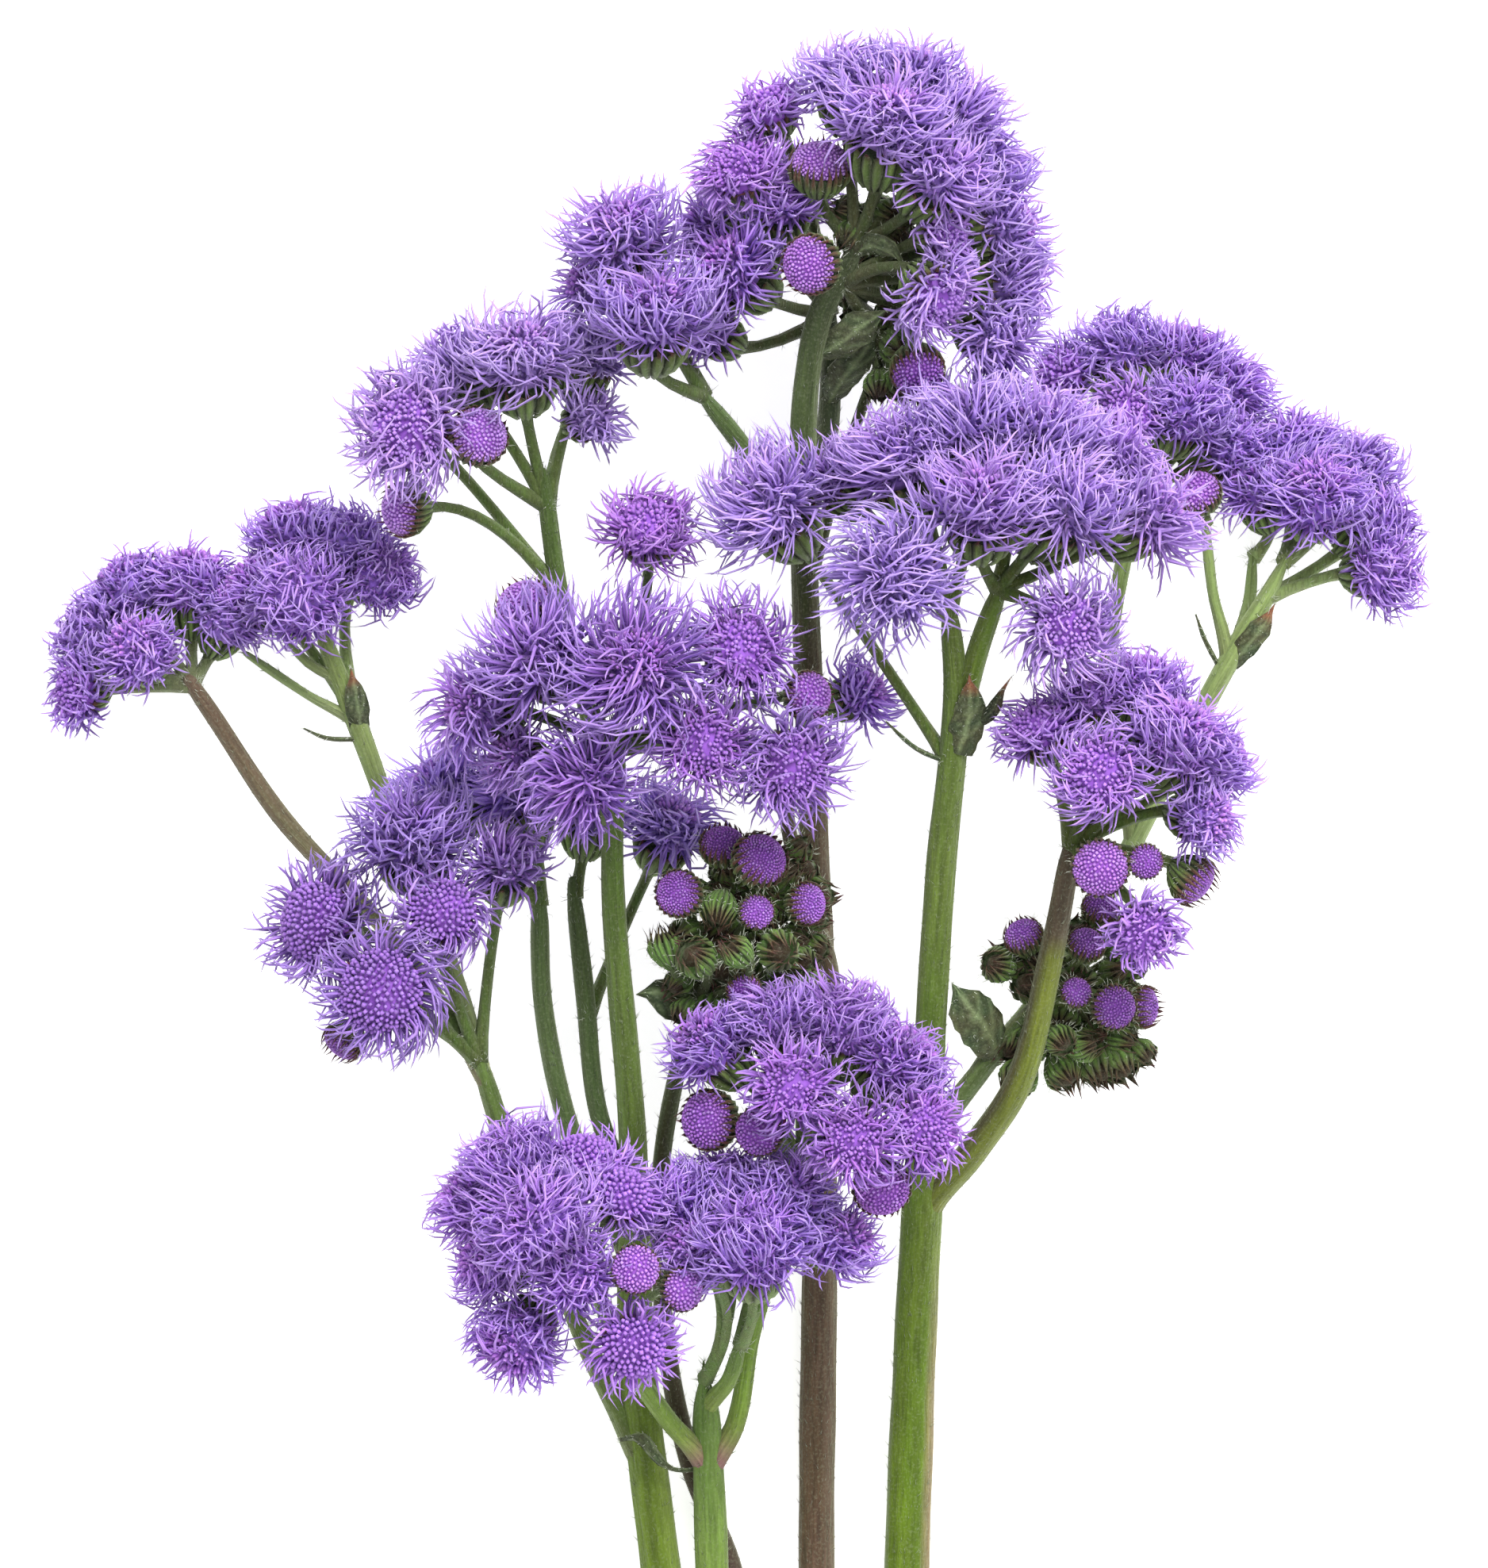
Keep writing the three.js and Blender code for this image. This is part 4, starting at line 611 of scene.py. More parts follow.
def cup(heap, head, rng):
    """The green cup under a head: a body with pointed, ribbed bracts all round it."""
    kind, R, small = head['kind'], head['R'], head.get('small')
    form = CUPS[kind]
    across, other, face, centre = (head[key] for key in ('across', 'other', 'face', 'centre'))
    closed, green_bud = kind in 'bg', kind == 'g'

    def profile(s):  # radius and height at share s of the way from base to mouth, past 1 along the tips
        inside = np.clip(s, 0, 1)
        radius = 0.2 + (form['mouth'] - 0.2) * np.sin(inside * math.pi / 2) ** 0.75
        past = np.clip(s - 1, 0, 1)
        radius = radius - form['lean'] * past ** (1.5 if closed else 1.3)
        height = -form['deep'] + (form['height'] + form['deep']) * inside + form['rise'] * past
        return radius * R, height * R

    def ring(angle, s):
        radius, height = profile(s)
        way = around(angle, across, other)
        return centre + way * np.asarray(radius)[..., None] + face * np.asarray(height)[..., None], way

    n = form['bracts'] - (8 if small else 0)
    angle = 2 * math.pi * (np.arange(n) + rng.normal(0, 0.26 if green_bud else 0.12, n)) / n + head['spin']
    steps = np.array([0.03, 0.3, 0.66, 1.0, 1.5 if closed else 1.35, 2.0])
    s = np.repeat(steps[None], n, 0)
    s[:, 3:] += rng.normal(0, 0.06, (n, 1))
    paths, way = ring(np.repeat(angle[:, None], len(steps), 1), s)
    paths += way * 0.03 * R
    if green_bud:
        off = rng.normal(0, 0.16 * R, (n, 3))
        paths[:, -1] += off + way[:, -1] * 0.25 * R + face * 0.1 * R
        paths[:, -2] += 0.4 * off
    else:
        paths[:, -1] += rng.normal(0, 0.07 * R, (n, 3))
    share = np.array([1.25, 1.25, 1.22, 0.8 if kind in 'bd' else 1.0, 0.62 if green_bud else 0.33, 0.0])
    widths = profile(s)[0] * math.pi / n * share
    widths[:, -2] = np.minimum(widths[:, -2], 0.12 * R + 0.05)
    points, faces, along = strands(paths, widths * (1.2 if green_bud else 1), up=way, flat=0.26 if green_bud else 0.5)
    tip = ease(np.array(form['dark']))
    ridge = np.zeros(points.shape[1])
    ridge[:-1:3] = 1
    # Each bract is lighter along its midrib and darker at its edges: partly real pale ribs, partly painted shade that
    # shows the bract's form.
    green = (BUD_DARK, BUD_RIB) if green_bud else (CUP_DARK, CUP_RIB)
    colour = mix(*green, ridge)
    colour = mix(colour, BRACT_TIP, tip[along] * (1 - 0.1 * ridge))
    # A random tone for each bract; the small crowding buds are painted darker, as painted shade inside the bud cluster.
    colour = colour[None] * rng.uniform(0.7, 1.25, (n, 1, 1)) * (0.7 if small else 1)
    grain = np.stack([ridge * 0.5, along / 5, along * 0.0], -1)[None] + rng.uniform(0, 30, (n, 1, 3))
    heap.add(points, faces, colour.reshape(-1, 3), grain.reshape(-1, 3), 0.12)
    sides = 10
    angle = 2 * math.pi * np.arange(sides) / sides
    rows = [ring(angle, np.full(sides, v))[0] for v in (0, 0.3, 0.66, 0.98)]
    top = centre + face * (form['height'] * R * 0.9)
    points = np.concatenate(rows + [[centre - face * (form['deep'] * R), top]])
    faces, k, j = tube_faces(4, sides)
    faces = [fan(j, k, 4 * sides), fan(3 * sides + k, 3 * sides + j, 4 * sides + 1)] + faces
    heap.add(points, np.concatenate(faces), BUD_DARK * 0.95 if green_bud else CUP_BODY)
    if green_bud:
        heap.add(centre + CORE_POINTS * 0.66 * R, CORE_FACES, mix(BUD_DARK, BRACT_TIP, 0.6) * 0.5)
    count = int(CUP_HAIRS * (R / 4) ** 0.7 * (1.5 if small else form['hairs']))
    at = rng.uniform(0, 1.1, count)
    roots, way = ring(rng.uniform(0, 6.28, count), at)
    hairs(heap, roots + way * 0.05, way, np.repeat(face[None], count, 0), CUP_HAIR, rng)


def stalk(heap, head, colour, greener, rng):
    """The thin stalk from a fork to a head's cup; it turns greener towards the cup."""
    R, face = head['R'], head['face']
    thin = min(STALK_RADIUS, 0.22 * R)
    base = head['centre'] - face * CUPS[head['kind']]['deep'] * R
    start = head['root']
    reach = np.linalg.norm(base - start)
    pull = base - face * 0.45 * reach
    if reach <= LONG_STALK:
        pull = (pull + (base + start) / 2) / 2
    t = np.linspace(0, 1, max(5, int(reach / 1.6)))[:, None]
    places = np.concatenate([bent(start, pull, base, t), [base + face * 0.12 * R]])
    radius = thin * (1 + 0.6 * np.exp(-np.arange(len(places))))
    radius[-2:] = [thin * 1.25, 0.3 * R]
    ahead = unit(np.gradient(places, axis=0))
    paths = np.concatenate([places, [base + face * 0.2 * R]])[None]
    widths = np.concatenate([radius, [0]])[None]
    points, faces, along = strands(paths, widths, sides=6)
    grain = points[0] * [2, 0.3, 2]
    heap.add(points, faces, mix(colour, STALK_END, np.clip(along / len(radius), 0, 1) * greener), grain, 0.25)
    count = int(reach * STALK_HAIRS)
    at = rng.integers(0, len(places) - 1, count)
    out = unit(np.cross(ahead[at], rng.normal(0, 1, (count, 3))))
    hairs(heap, places[at] + out * radius[at, None], out, ahead[at], STALK_HAIR, rng, False)


def leaf(heap, points, turn, tip, rng):
    """A toothed blade, folded along its midrib and curled at the edges."""
    path = smooth_path(points, LEAF_STEP)
    places, half = path[:, :3], path[:, 3]
    ahead, side, up = frames(places)
    c, s = math.cos(math.radians(turn)), math.sin(math.radians(turn))
    wide, thick = c * side + s * up, c * up - s * side
    rows, columns = len(places), 9
    u = np.linspace(-1, 1, columns)  # across the blade, from edge to edge
    run = np.arange(rows)
    tooth = 1 + 0.16 * ((run * LEAF_STEP / TOOTH) % 1 - 0.5)
    slim = 0.5 + 0.62 * ease((half - 0.42) / 0.4)
    width = (half * tooth * slim * np.minimum(1, (rows - 1 - run) / 3 + 0.12))[:, None] * u[None]
    lift = half[:, None] * (0.44 * np.abs(u)[None] ** 1.5 - 0.15)
    lift = lift + 0.07 * half[:, None] * np.sin(run * 1.3)[:, None] * u[None] ** 2
    sheet = places[:, None] + wide[:, None] * width[..., None]
    face_up, face_down = [sheet + thick[:, None] * (lift + d)[..., None] for d in (0.11, -0.11)]
    all_points = np.concatenate([face_up, face_down]).reshape(-1, 3)
    number = np.arange(rows * columns).reshape(rows, columns)
    corners = [number[:-1, :-1], number[:-1, 1:], number[1:, 1:], number[1:, :-1]]
    front, back = np.stack(corners, -1), np.stack([corners[i] for i in (0, 3, 2, 1)], -1) + number.size
    a = np.concatenate([number[1:, 0], number[:-1, -1], number[0, 1:], number[-1, :-1]])
    b = np.concatenate([number[:-1, 0], number[1:, -1], number[0, :-1], number[-1, 1:]])
    rim = np.stack([a, b, b + number.size, a + number.size], -1)
    quads = np.concatenate([front.reshape(-1, 4), back.reshape(-1, 4), rim])
    faces = np.concatenate([quads[:, [0, 1, 2]], quads[:, [0, 2, 3]]])
    side_veins = np.abs((run[:, None] * 0.32 - np.abs(u)[None] * 1.3) % 1 - 0.5) < 0.14
    vein = np.maximum(np.exp(-(u[None] / 0.13) ** 2), 0.5 * side_veins)
    colour = mix(LEAF, LEAF_VEIN, vein.ravel())
    under = mix(LEAF * 1.5, LEAF_VEIN * 1.1, vein.ravel())
    colour = np.concatenate([colour, under])
    far = np.tile(np.repeat(run / (rows - 1), columns), 2)
    if tip is not None:
        colour = mix(colour * (0.25 if tip is WITHERED else 1), PAPERY, ease((far - 0.72) / 0.2))
    heap.add(all_points, faces, colour, all_points * 0.8, 0.25)
    pick = rng.integers(0, len(all_points), rows * 5)
    out = np.repeat(thick[:1], len(pick), 0) * rng.choice([-1, 1], (len(pick), 1))
    hairs(heap, all_points[pick], out, np.repeat(ahead[:1], len(pick), 0), LEAF_HAIR, rng)


# ---- violet pieces ----
def head_space(head, local, flat=1.0):
    """Points about a head's middle, with z along its crest, put in the layout."""
    return head['centre'] + np.asarray(local) * [1, 1, flat] @ head['crest']


def tinted(colour, head, strength=1.0):
    """A colour in the tint of a head's spray, and of the head itself."""
    pale, blue = TINTS[head['spray']]
    pale = np.clip(pale + head['shift'][0], 0, 1)
    blue = np.clip(blue + head['shift'][1], -1, 1)
    colour = mix(colour, PALE, np.broadcast_to(pale * 0.42 * strength, colour.shape[:-1]))
    colour = mix(colour, BLUISH if blue > 0 else ROSE, np.broadcast_to(abs(blue) * 0.5 * strength, colour.shape[:-1]))
    return colour * BRIGHT.get(head['spray'], 1)


def ball(fineness):
    """Points and triangles of a ball of radius 1."""
    made = bmesh.new()
    bmesh.ops.create_icosphere(made, subdivisions=fineness, radius=1)
    points, faces = np.array([v.co[:] for v in made.verts]), np.array([[v.index for v in f.verts] for f in made.faces])
    made.free()
    return points, faces


BALL_POINTS, BALL_FACES = ball(2)
CORE_POINTS, CORE_FACES = ball(1)


def heart(heap, head, radius, flat, colour, rng):
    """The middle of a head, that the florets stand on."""
    bump = 1 + 0.06 * rng.normal(0, 1, (len(BALL_POINTS), 1))
    points = head_space(head, BALL_POINTS * bump * radius * head['R'], flat)
    heap.add(points, BALL_FACES, colour)


def threads(heap, head, d, start, reach, lean, rosy, rng, flat=1.0, radius=THREAD_RADIUS, splay=0.2, brief=0.5):
    """Curled threads in pairs from directions d. start, reach: distances from the middle; lean: how far
    pairs part; splay: how far they spread outward; brief: the share of them with fewer bends."""
    R = head['R']
    n = len(d)
    loose = rng.normal(0, 1, (n, 3))
    loose[1::2] = -loose[::2][:n // 2] + rng.normal(0, 0.5, (n // 2, 3))
    flow = np.sin(d @ rng.normal(0, 2.6, (3, 3)) + rng.uniform(0, 6.28, 3)) * 0.3
    flow -= d * np.sum(flow * d, 1, keepdims=True)
    loose -= d * np.sum(loose * d, 1, keepdims=True)
    swirl = np.cross([0, 0, 1.0], d) * head['swirl']
    outward = d * [1, 1, 0] / np.maximum(np.linalg.norm(d[:, :2], axis=1), 0.35)[:, None]
    rising = ease((d[:, 2] + 0.3) / 0.4) * (1 - ease((d[:, 2] - 0.5) / 0.4))
    way = d + lean * loose + flow + swirl + splay * outward * ease((d[:, 2] + 0.1) / 0.5)[:, None]
    way = unit(way + [0, 0, 0.4] * rising[:, None])
    first, last = d * start[:, None], way * reach[:, None]
    pull = first + d * 0.6 * np.linalg.norm(last - first, axis=1, keepdims=True) + rng.normal(0, 0.045, (n, 3)) * R
    curl = rng.normal(0, 0.06, (n, 3)) * R
    # A random tone for each thread, times painted shade: threads low on the head's crest are darker and those on top
    # lighter, as if lit from above.
    tone_and_shade = rng.uniform(0.85, 1.18, (n, 1, 1)) * mix(0.78, 1.05, ease((d[:, 2] + 0.5) / 0.9))[:, None]
    thick = radius * rng.uniform(0.8, 1.2, (n, 1))
    rosy = np.asarray(rosy)[:, None]
    fade = rng.uniform(0, 0.55, (n, 1))
    under = (d[:, 2] < -0.1) | (rng.uniform(0, 1, n) < brief)
    full, plain = ((0, 0.3, 0.6, 0.87, 1.0), (1.0, 1.0, 0.85, 0.6, 0.0)), ((0, 0.4, 0.8, 1.0), (1.0, 0.95, 0.65, 0.0))
    for which, (steps, width) in ((~under, full), (under, plain)):
        if not which.any():
            continue
        steps = np.array(steps)
        t = steps[None, :, None]
        local = bent(*(v[which][:, None] for v in (first, pull, last)), t) + curl[which][:, None] * np.sin(t * 4.2)
        paths = head_space(head, local, flat)
        paths[..., 2] = np.maximum(paths[..., 2], 0.15 + 0.5 * rng.uniform(0, 1, (len(paths), 1)))
        points, faces, along = strands(paths, thick[which] * np.array(width)[None], flat=0.8)
        t = steps[along]
        # Each thread runs from DEEP at its root through VIOLET to LAVENDER at its tip; the dark root is painted shade
        # where the threads crowd into the head.
        colour = mix(mix(DEEP, VIOLET, ease(t / 0.3)), LAVENDER, ease((t - 0.08) / 0.5))[None]
        colour = mix(colour, PALE, fade[which] * ease((t - 0.4) / 0.5)[None])
        colour = mix(colour, ROSE, rosy[which] * (1 - 0.65 * t)[None])
        heap.add(points, faces, (tinted(colour, head) * tone_and_shade[which]).reshape(-1, 3))


def beads(heap, head, d, radius, size, lift, rng, flat=1.0, dark=0.0, calm=0.0):
    """Closed florets like beads, on a dome of this radius and flatness, standing 'lift' out of it."""
    n = len(d)
    out = unit(d * [1, 1, 1 / flat])
    root = d * radius * [1, 1, flat]
    out = stirred(out, 0.12, rng)
    paths = head_space(head, np.stack([root + out * lift * k for k in (-0.3, 0.7, 1.0)], 1))
    widths = size * np.array([0.9, 0.85, 0.0])[None] * rng.uniform(0.75, 1.15, (n, 1))
    points, faces, along = strands(paths, widths, sides=4)
    t = along / 2
    # Each bead runs from BEAD_ROOT through BEAD_TOP to a painted highlight at its tip.
    colour = mix(mix(BEAD_ROOT, BEAD_TOP, ease(t * 1.5)), BEAD_LIGHT, t ** 2 * 0.9)[None]
    colour = mix(np.repeat(colour, n, 0), BEAD_ROOT if np.max(dark) > 0 else BEAD_LIGHT, np.abs(dark))
    # About three beads in ten get a further pale painted highlight on their tips.
    colour = mix(colour, PALE, 0.55 * t ** 2 * (rng.uniform(0, 1, (n, 1)) < 0.3))
    colour = tinted(mix(colour, mix(VIOLET, LAVENDER, 0.5), calm), head, 0.5) * rng.uniform(0.8, 1.15, (n, 1, 1))
    heap.add(points, faces, colour.reshape(-1, 3))


def open_head(heap, head, rng):
    """A head in full flower: long curled threads and short ones round a core, and beads where its top is bare."""
    R, root = head['R'], ROOTS.get(head['spray'], LONG_ROOT)
    short = root > LONG_ROOT
    count = int(THREADS * (1.3 if short else FULLER.get(head['spray'], 1)) * (R / FULL_RADIUS) ** 1.6) // 2
    bare = head['rosy'] > 0.7
    d = spread(count, 1.0, -0.4, head['spin'])
    d = d[rng.uniform(0, 1, len(d)) > (0.5 if bare else 0) * ease((d[:, 2] - 0.65) / 0.25)]
    d = np.repeat(d, 2, 0)
    d = stirred(d, 0.07, rng)
    top = ease((d[:, 2] - 0.4) / 0.5)
    reach = R * (1.17 - 0.15 * top + rng.normal(0, 0.11, len(d)))
    reach *= REACHES.get(head['spray'], 1)
    start = R * (root + rng.uniform(-0.05, 0.05, len(d)))
    threads(heap, head, d, start, reach, 0.15, 0.5 * head['rosy'] * top, rng,
            radius=THREAD_RADIUS * (FINER if short else 1), splay=0.4 if bare else 0.15, brief=0.9 if short else 0.5)
    small = int(SHORT_FLORETS * (1.7 if short else 1) * (R / FULL_RADIUS) ** 1.6)
    d = spread(small, 1.0, -0.4, head['spin'] + 1)
    d = stirred(d, 0.07, rng)
    ends = stirred(d, 0.25, rng)
    reach = root + rng.uniform(0.14, 0.3 if short else 0.38, (small, 1))
    paths = head_space(head, np.stack([d * (root - 0.04) * R, ends * R * reach], 1))
    paths[..., 2] = np.maximum(paths[..., 2], 0.1)
    points, faces, along = strands(paths, np.tile([0.24, 0.0], (small, 1)))
    colour = np.repeat(mix(mix(VIOLET, LAVENDER, along), ROSE, 0.3 - 0.2 * along)[None], small, 0)
    heap.add(points, faces, (tinted(colour, head) * rng.uniform(0.75, 1.2, (small, 1, 1))).reshape(-1, 3))
    d = spread(int(80 * (R / FULL_RADIUS) ** 2), 1.0, 0.68, head['spin'])
    if bare:
        beads(heap, head, stirred(d, 0.05, rng), (root + 0.08) * R, 0.21, 0.6, rng, 1.0, -0.25)
    heart(heap, head, root - 0.03, 1.0, tinted(mix(DEEP, LAVENDER, 0.3), head), rng)


def half_open_head(heap, head, rng):
    """A dome of closed florets with a rim of open threads."""
    R, neat = head['R'], head['spray'] in NEAT_DOMES
    flat = 0.72
    bead = HALF_BEAD * (1.12 if neat else 1)
    heart(heap, head, 0.6, flat, mix(DEEP, ROSE, 0.35), rng)
    area = 2 * math.pi * (0.62 * R) ** 2 * 0.7
    d = spread(int(area / (2.0 * bead) ** 2), 1.0, 0.3, head['spin'])
    beads(heap, head, stirred(d, 0.018 if neat else 0.045, rng), (0.66 if neat else 0.62) * R, bead, 0.45, rng, flat,
          calm=0.55 if neat else 0.4)
    count = int(THREADS * 0.95 * (R / FULL_RADIUS) ** 1.6) // 2  # pairs, round the rim
    d = np.repeat(spread(count, 0.36 if neat else 0.55, -0.5, head['spin']), 2, 0)
    d = stirred(d, 0.07, rng)
    start = R * rng.uniform(0.5, 0.56, len(d))
    reach = R * REACHES.get(head['spray'], 1) * (1.19 + rng.normal(0, 0.11, len(d)))
    threads(heap, head, d, start, reach, 0.18, 0.15 + 0.3 * ease(d[:, 2] / 0.5), rng, 0.8)
    if neat:
        return
    few = int(52 * (R / 5) ** 1.5) // 2  # pairs that open early, on the dome
    d = np.repeat(spread(few, 0.75, 0.3, head['spin'] + 2), 2, 0)
    d = stirred(d, 0.1, rng)
    reach = R * rng.uniform(0.8, 1.0, len(d))
    threads(heap, head, d, np.full(len(d), 0.6 * R), reach, 0.4, np.full(len(d), 0.6), rng, 0.82)


def disc(heap, head, rng):
    """A dome of packed florets, not yet open."""
    R = head['R']
    wide, high, size = (0.93, 0.52, DISC_BEAD) if head['kind'] == 'd' else (0.9, 0.42, BUD_BEAD)
    dark = 0.1 if head['kind'] == 'd' else 0.25
    area = math.pi * (wide * R) ** 2 * 1.3
    d = spread(int(area / (1.8 * size) ** 2), 1.0, 0.02, head['spin'])
    middle = ease((d[:, 2:3] - 0.8) / 0.2)
    shade = dark + 0.3 * middle if head['kind'] == 'b' or head['spray'] in DARK_DISCS else -0.3
    beads(heap, head, d, wide * R * 0.93, size, 0.26, rng, high / wide, shade)
    points = head_space(head, BALL_POINTS * wide * R * 0.93, high / wide)
    heap.add(points, BALL_FACES, mix(BEAD_ROOT, BEAD_TOP, 0.4))


# ---- materials ----
def feed(tree, made, sources):
    """Wire a node's inputs to other nodes' outputs, or set their values."""
    for key, source in sources.items():
        if isinstance(source, bpy.types.NodeSocket):
            tree.links.new(source, made.inputs[key])
        else:
            made.inputs[key].default_value = source


def node(tree, kind, sources=None, **settings):
    """A new node with its settings, laid out in rows of eight."""
    made = tree.nodes.new(kind)
    made.location = (220 * (len(tree.nodes) % 8), -280 * (len(tree.nodes) // 8))
    for key, value in settings.items():
        setattr(made, key, value)
    feed(tree, made, sources or {})
    return made


def plant_grain():
    """Streaks along a stem and fine cells, for green and violet pieces alike."""
    tree = bpy.data.node_groups.new('Plant grain', 'ShaderNodeTree')
    for name, kind, value in (('Paint', 'Color', (0.5, 0.5, 0.5, 1)), ('Stain', 'Float', 0.0),
                              ('Stain colour', 'Color', (0.1, 0.05, 0.04, 1)), ('Grain', 'Vector', (0, 0, 0)),
                              ('Streaks', 'Float', 0.2), ('Cells', 'Float', 0.1), ('Specks', 'Float', 0.0)):
        tree.interface.new_socket(name, in_out='INPUT', socket_type='NodeSocket' + kind).default_value = value
    for name, kind in (('Color', 'Color'), ('Roughness', 'Float'), ('Height', 'Float')):
        tree.interface.new_socket(name, in_out='OUTPUT', socket_type='NodeSocket' + kind)
    asked = node(tree, 'NodeGroupInput').outputs
    place = node(tree, 'ShaderNodeTexCoord').outputs['Object']

    def noise(where, **values):
        return node(tree, 'ShaderNodeTexNoise', {'Vector': where, **values}).outputs[0]

    def between(value, ends):
        return node(tree, 'ShaderNodeMapRange', {'Value': value, **ends}).outputs[0]

    def sums(operation, a, b):
        return node(tree, 'ShaderNodeMath', {0: a, 1: b}, operation=operation).outputs[0]

    def cover(amount, under, over):
        return node(tree, 'ShaderNodeMix', {0: amount, 6: under, 7: over}, data_type='RGBA').outputs[2]

    streaks = noise(asked['Grain'], Scale=2.6, Detail=4.0, Roughness=0.65)
    cells = noise(place, Scale=1900.0, Detail=2.0)
    blots = between(noise(asked['Grain'], Scale=0.55, Detail=2.0), {'From Min': 0.36, 'From Max': 0.62})
    flecks = between(noise(place, Scale=4200.0, Detail=1.0), {'From Min': 0.5, 'From Max': 0.75})
    stained = cover(sums('MULTIPLY', blots, asked['Stain']), asked['Paint'], asked['Stain colour'])
    height = sums('ADD', sums('MULTIPLY', sums('SUBTRACT', streaks, 0.5), asked['Streaks']),
                  sums('MULTIPLY', sums('SUBTRACT', cells, 0.5), asked['Cells']))
    shaded = node(tree, 'ShaderNodeVectorMath', {0: stained, 'Scale': sums('ADD', height, 1.0)},
                  operation='SCALE').outputs[0]
    speckled = cover(sums('MULTIPLY', flecks, asked['Specks']), shaded, (*SPECK, 1))
    rough = between(cells, {'To Min': 0.42, 'To Max': 0.7})
    node(tree, 'NodeGroupOutput', {'Color': speckled, 'Roughness': rough, 'Height': height})
    return tree


GRAIN_GROUP = plant_grain()


def plant_material(name, streaks, cells, bump, stain, specks=0.0, sheen=0.0, sheen_tint=(1, 1, 1, 1)):
    made = bpy.data.materials.new(name)
    made.use_nodes = True
    tree = made.node_tree
    paint, grain = (node(tree, 'ShaderNodeAttribute', attribute_name=key).outputs for key in ('paint', 'grain'))
    group = node(tree, 'ShaderNodeGroup', node_tree=GRAIN_GROUP)
    feed(tree, group, {'Paint': paint['Color'], 'Stain': paint['Alpha'], 'Grain': grain['Vector'],
                       'Stain colour': (*light(stain), 1), 'Streaks': streaks, 'Cells': cells, 'Specks': specks})
    raised = node(tree, 'ShaderNodeBump', {'Height': group.outputs['Height'], 'Strength': bump,
                                           'Distance': GRAIN_HEIGHT})
    feed(tree, tree.nodes['Principled BSDF'], {
        'Base Color': group.outputs['Color'], 'Roughness': group.outputs['Roughness'],
        'Normal': raised.outputs['Normal'], 'Sheen Weight': sheen, 'Sheen Tint': sheen_tint,
        'Specular IOR Level': 0.22})
    return made


FLORET = plant_material('Violet florets', 0.15, 0.35, 0.25, '#4a2a96', sheen=0.25, sheen_tint=(0.8, 0.7, 1, 1))
VELVET = dict(sheen=0.26, sheen_tint=(0.85, 0.95, 0.6, 1))
SPECKS = 0.12
# Each stem's piece and its material slot, then the streaks, cells, bump and stain of its skin.
GREENS = {
    'stem_left': ('left_stem', 'left_stem_green', (1.7, 0.3, 0.6, '#5a4438')),
    'stem_front': ('front_stem', 'front_stem_green', (1.7, 0.35, 0.6, '#66503c')),
    'stem_buds': ('bud_stem', 'bud_stem_brown', (0.6, 0.3, 0.6, '#4a3030')),
    'stem_tall': ('tall_stem', 'tall_stem_brown', (1.7, 0.4, 0.7, '#5d463c')),
    'stem_right': ('right_stem', 'right_stem_green', (1.7, 0.3, 0.6, '#6a5238')),
}


# ---- put the heads in place ----
def facing_way(face):
    """A head's axis, and two directions square to it."""
    across = square(face)
    return dict(face=face, across=across, other=np.cross(face, across))


heads = []
for spray_number, (spray, rows) in enumerate(SPRAYS.items()):
    for number, (kind, x, y, z, R, *more) in enumerate(rows['heads']):
        first_fork, *_ = rows['forks']
        fork = more.pop(0) if more and isinstance(more[0], str) else first_fork
        centre = np.array([x, y, z], float)
        face = unit(more[0] if more else centre - rows['aim'])
        rng = np.random.default_rng([spray_number, number])
        outward = unit((centre - rows['aim']) * [1, 1, 0])
        crest = unit(face + COMBED.get(kind, 0) * (0.6 * outward + [0, 0.6, 0]))
        level = square(crest)
        heads.append(dict(
            spray=spray, stem=rows['stem'], kind=kind, centre=centre, R=R, root=np.array(rows['forks'][fork], float),
            crest=np.array([level, np.cross(crest, level), crest]), spin=rng.uniform(0, 6.28),
            swirl=rng.uniform(-0.35, 0.35), rosy=rng.uniform(0.35, 1.0), shift=rng.normal(0, [0.1, 0.12]),
            rng=rng, **facing_way(face)))
        if kind == 'g':  # closed buds nod every way
            heads[-1].update(facing_way(unit(face + rng.normal(0, 0.45, 3))))

# Small closed buds crowd in among the larger ones.
crowd = []
for spray_number, (spray, count, fork, middle, half) in enumerate(CROWDS):
    rows = SPRAYS[spray]
    rng = np.random.default_rng([50, spray_number])
    for _ in range(count):
        offset = rng.uniform(-1, 1, 3)
        centre = np.array(middle) + np.array(half) * offset * [1, 1, 1 - 0.5 * np.linalg.norm(offset[:2])]
        crowd.append(dict(
            spray=spray, stem=rows['stem'], kind='g', centre=centre, R=rng.uniform(1.3, 2.1), small=True,
            root=np.array(rows['forks'][fork], float), spin=rng.uniform(0, 6.28), rng=rng,
            **facing_way(unit([0.9 * offset[0], 0.9 * offset[1] - 0.2, 0.8]))))

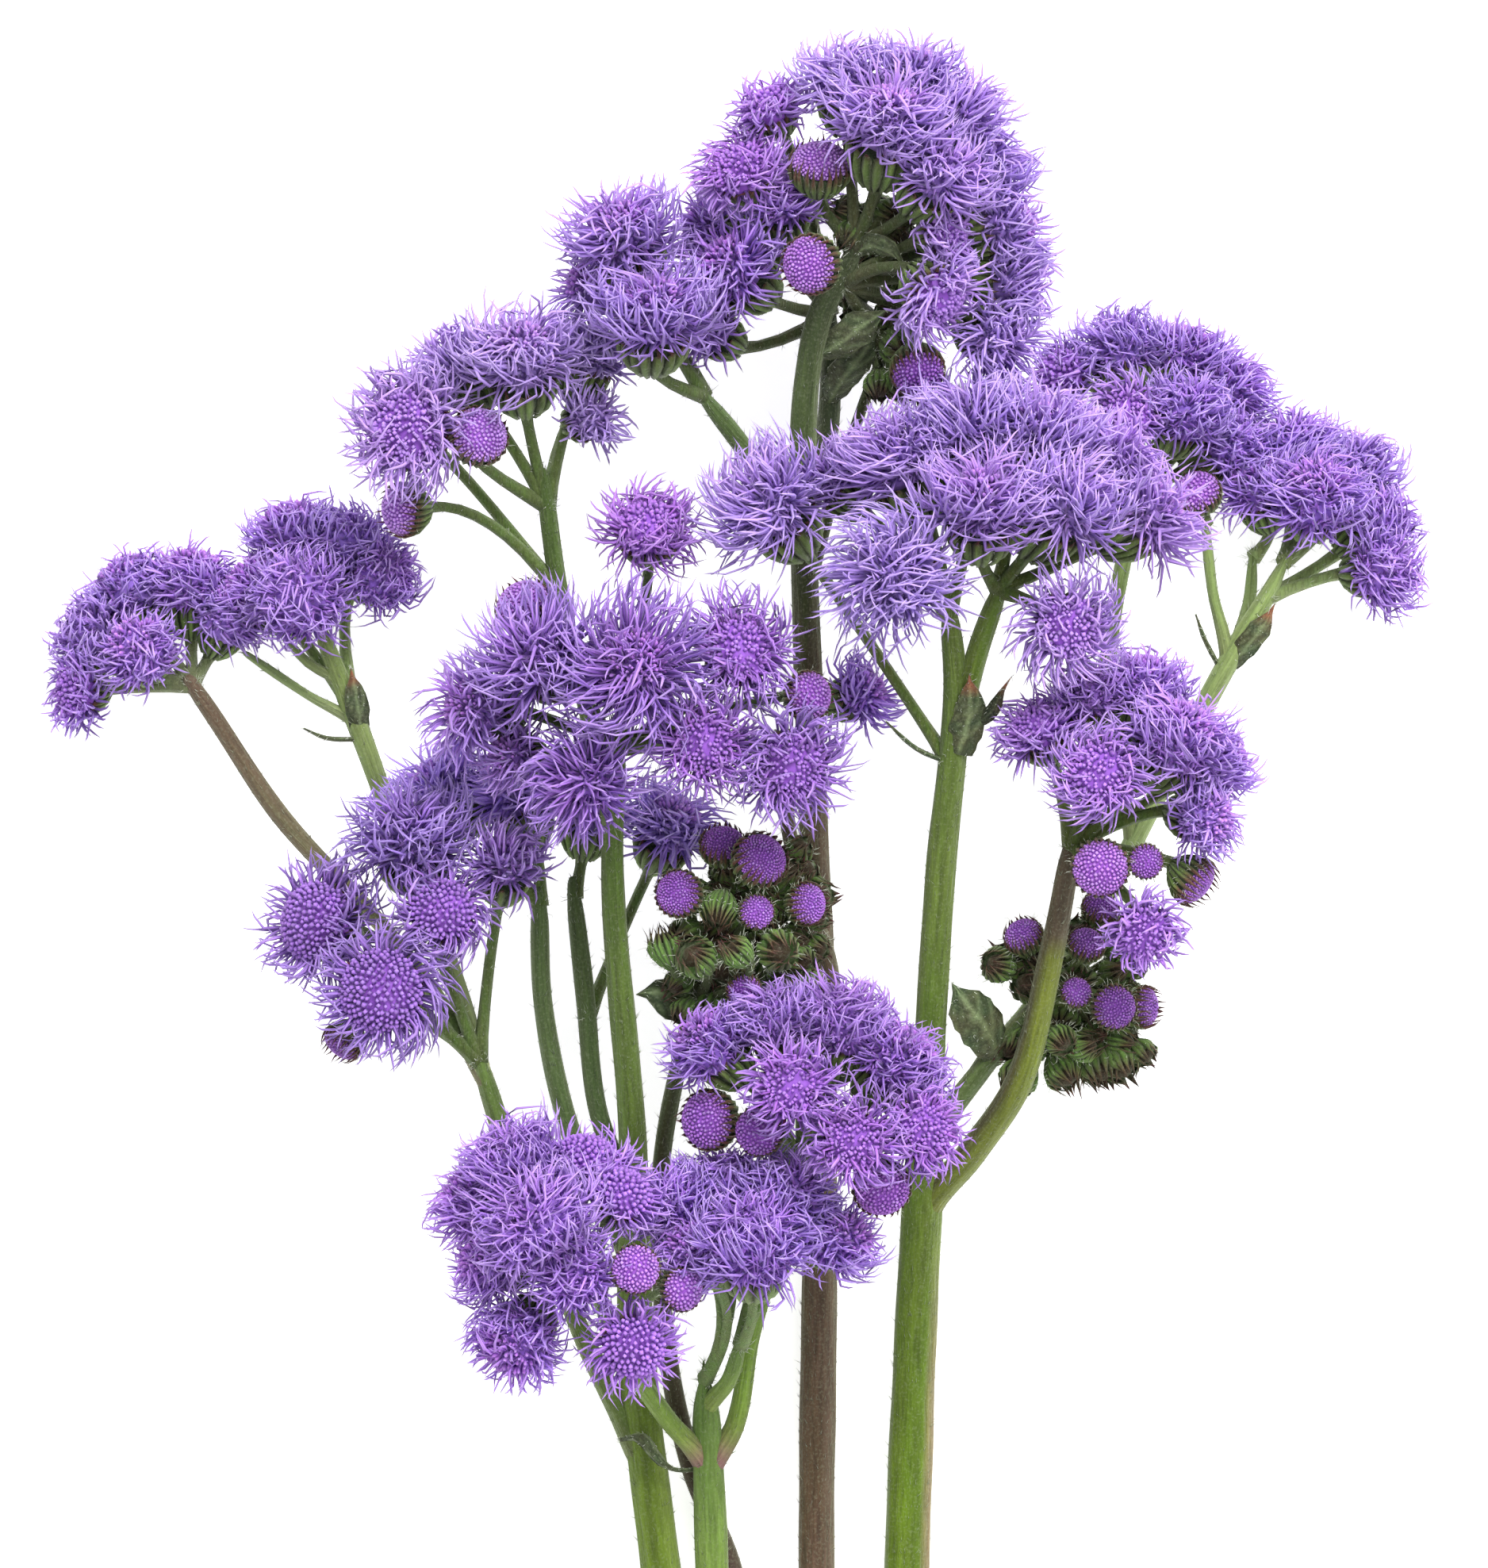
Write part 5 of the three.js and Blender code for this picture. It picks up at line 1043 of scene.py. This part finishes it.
# ---- the green pieces, a stem each ----
for number, (stem, (name, slot, skin)) in enumerate(GREENS.items()):
    heap = Heap()
    rng = np.random.default_rng([100, number])
    for shoot_name, points in {**STEMS[stem], **THIN_STALKS.get(stem, {})}.items():
        key = (stem, shoot_name)
        root, tip, stain = SHOOTS[stem].get(shoot_name, SHOOTS[stem][''])
        sides, hairy = (18, 1.0) if points[1][3] > THICK_SHOOT else (12, 0.8)
        trunk = shoot_name == 'trunk'
        if not trunk:
            points = rooted(points, [p for other, p in STEMS[stem].items() if other != shoot_name])
        shoot(heap, points, sides, light(root), light(tip), stain, trunk, hairy, SIDE_STAINS_AND_SHADING.get(key),
              CHANGES.get(key, (0, 1)), TAPERS.get(key, TAPERS['']), BLUSH if key in PINK_ROOTS else FAINT_BLUSH, rng)
    for head in heads + crowd:
        if head['stem'] == stem:
            tone = STALK_TONES.get(head['spray'])
            colour, greener = (tone, 0.35) if tone else (SHOOTS[stem][''][1], 0.7)
            stalk(heap, head, light(colour), greener, head['rng'])
            cup(heap, head, head['rng'])
    for rows in SPRAYS.values():
        if rows['stem'] == stem:
            for place in rows['forks'].values():
                wool(heap, place, rng)
    for blade, (points, turn) in enumerate(LEAVES[stem]):
        leaf(heap, points, turn, LEAF_TIPS.get((stem, blade)), rng)
    title = name.replace('_', ' ').capitalize() + ' skin'
    made = heap.piece(name, plant_material(title, *skin, SPECKS, **VELVET))
    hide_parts(stem)

# ---- the florets, a spray each ----
MAKERS = {'o': open_head, 'h': half_open_head, 'd': disc, 'b': disc}
for spray, rows in SPRAYS.items():
    heap = Heap()
    for head in heads:
        if head['spray'] == spray and head['kind'] in MAKERS:
            MAKERS[head['kind']](heap, head, head['rng'])
    made = heap.piece(f'{spray}_flowers', FLORET)
    own = [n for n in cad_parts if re.fullmatch(rf'florets_{spray}(_\d+)?', n)]
    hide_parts(*(own or [rows['stem']]))

# ---- floor, light and camera ----
FLOOR_HALF, FLOOR_Z = 4, -0.00005
square_floor = bpy.data.meshes.new('floor')
corners = [(x * FLOOR_HALF, y * FLOOR_HALF, FLOOR_Z) for x, y in ((-1, -1), (1, -1), (1, 1), (-1, 1))]
square_floor.from_pydata(corners, [], [(0, 1, 2, 3)])
floor = bpy.data.objects.new('floor', square_floor)
bpy.context.scene.collection.objects.link(floor)
paper = bpy.data.materials.new('Pale paper')
paper.use_nodes = True
feed(paper.node_tree, paper.node_tree.nodes['Principled BSDF'], {
    'Base Color': (0.9, 0.9, 0.9, 1), 'Roughness': 0.9, 'Emission Color': (1, 1, 1, 1), 'Emission Strength': 0.7})
floor.data.materials.append(paper)
LIT_PLACE = (0, 0.01, 0.02)


def softbox(name, place, size, power):
    lamp = bpy.data.lights.new(name, 'AREA')
    lamp.shape, lamp.size, lamp.energy = 'SQUARE', size, power
    made = bpy.data.objects.new(name, lamp)
    made.location = place
    made.rotation_euler = (Vector(LIT_PLACE) - Vector(place)).to_track_quat('-Z', 'Y').to_euler()
    bpy.context.scene.collection.objects.link(made)


softbox('key', (0.3, 0.9, 1.15), 0.8, 26)
softbox('front', (0.4, -0.5, 1.6), 1.2, 10)
world = bpy.data.worlds.new('studio')
bpy.context.scene.world = world
world.use_nodes = True
feed(world.node_tree, world.node_tree.nodes['Background'], {'Color': (0.97, 0.98, 1, 1), 'Strength': 0.55})

lens = bpy.data.cameras.new('camera')
lens.sensor_width = SENSOR
lens.lens = SENSOR * VIEW_DISTANCE / VIEW_HEIGHT
lens.clip_start, lens.clip_end = 0.1, 20
camera = bpy.data.objects.new('camera', lens)
camera.location = (np.array(VIEW_MIDDLE) - ORIGIN + [0, 0, VIEW_DISTANCE]) * MM
camera.rotation_euler = (0, 0, 0)
bpy.context.scene.collection.objects.link(camera)
bpy.context.scene.camera = camera
bpy.context.scene.view_settings.view_transform = 'Standard'
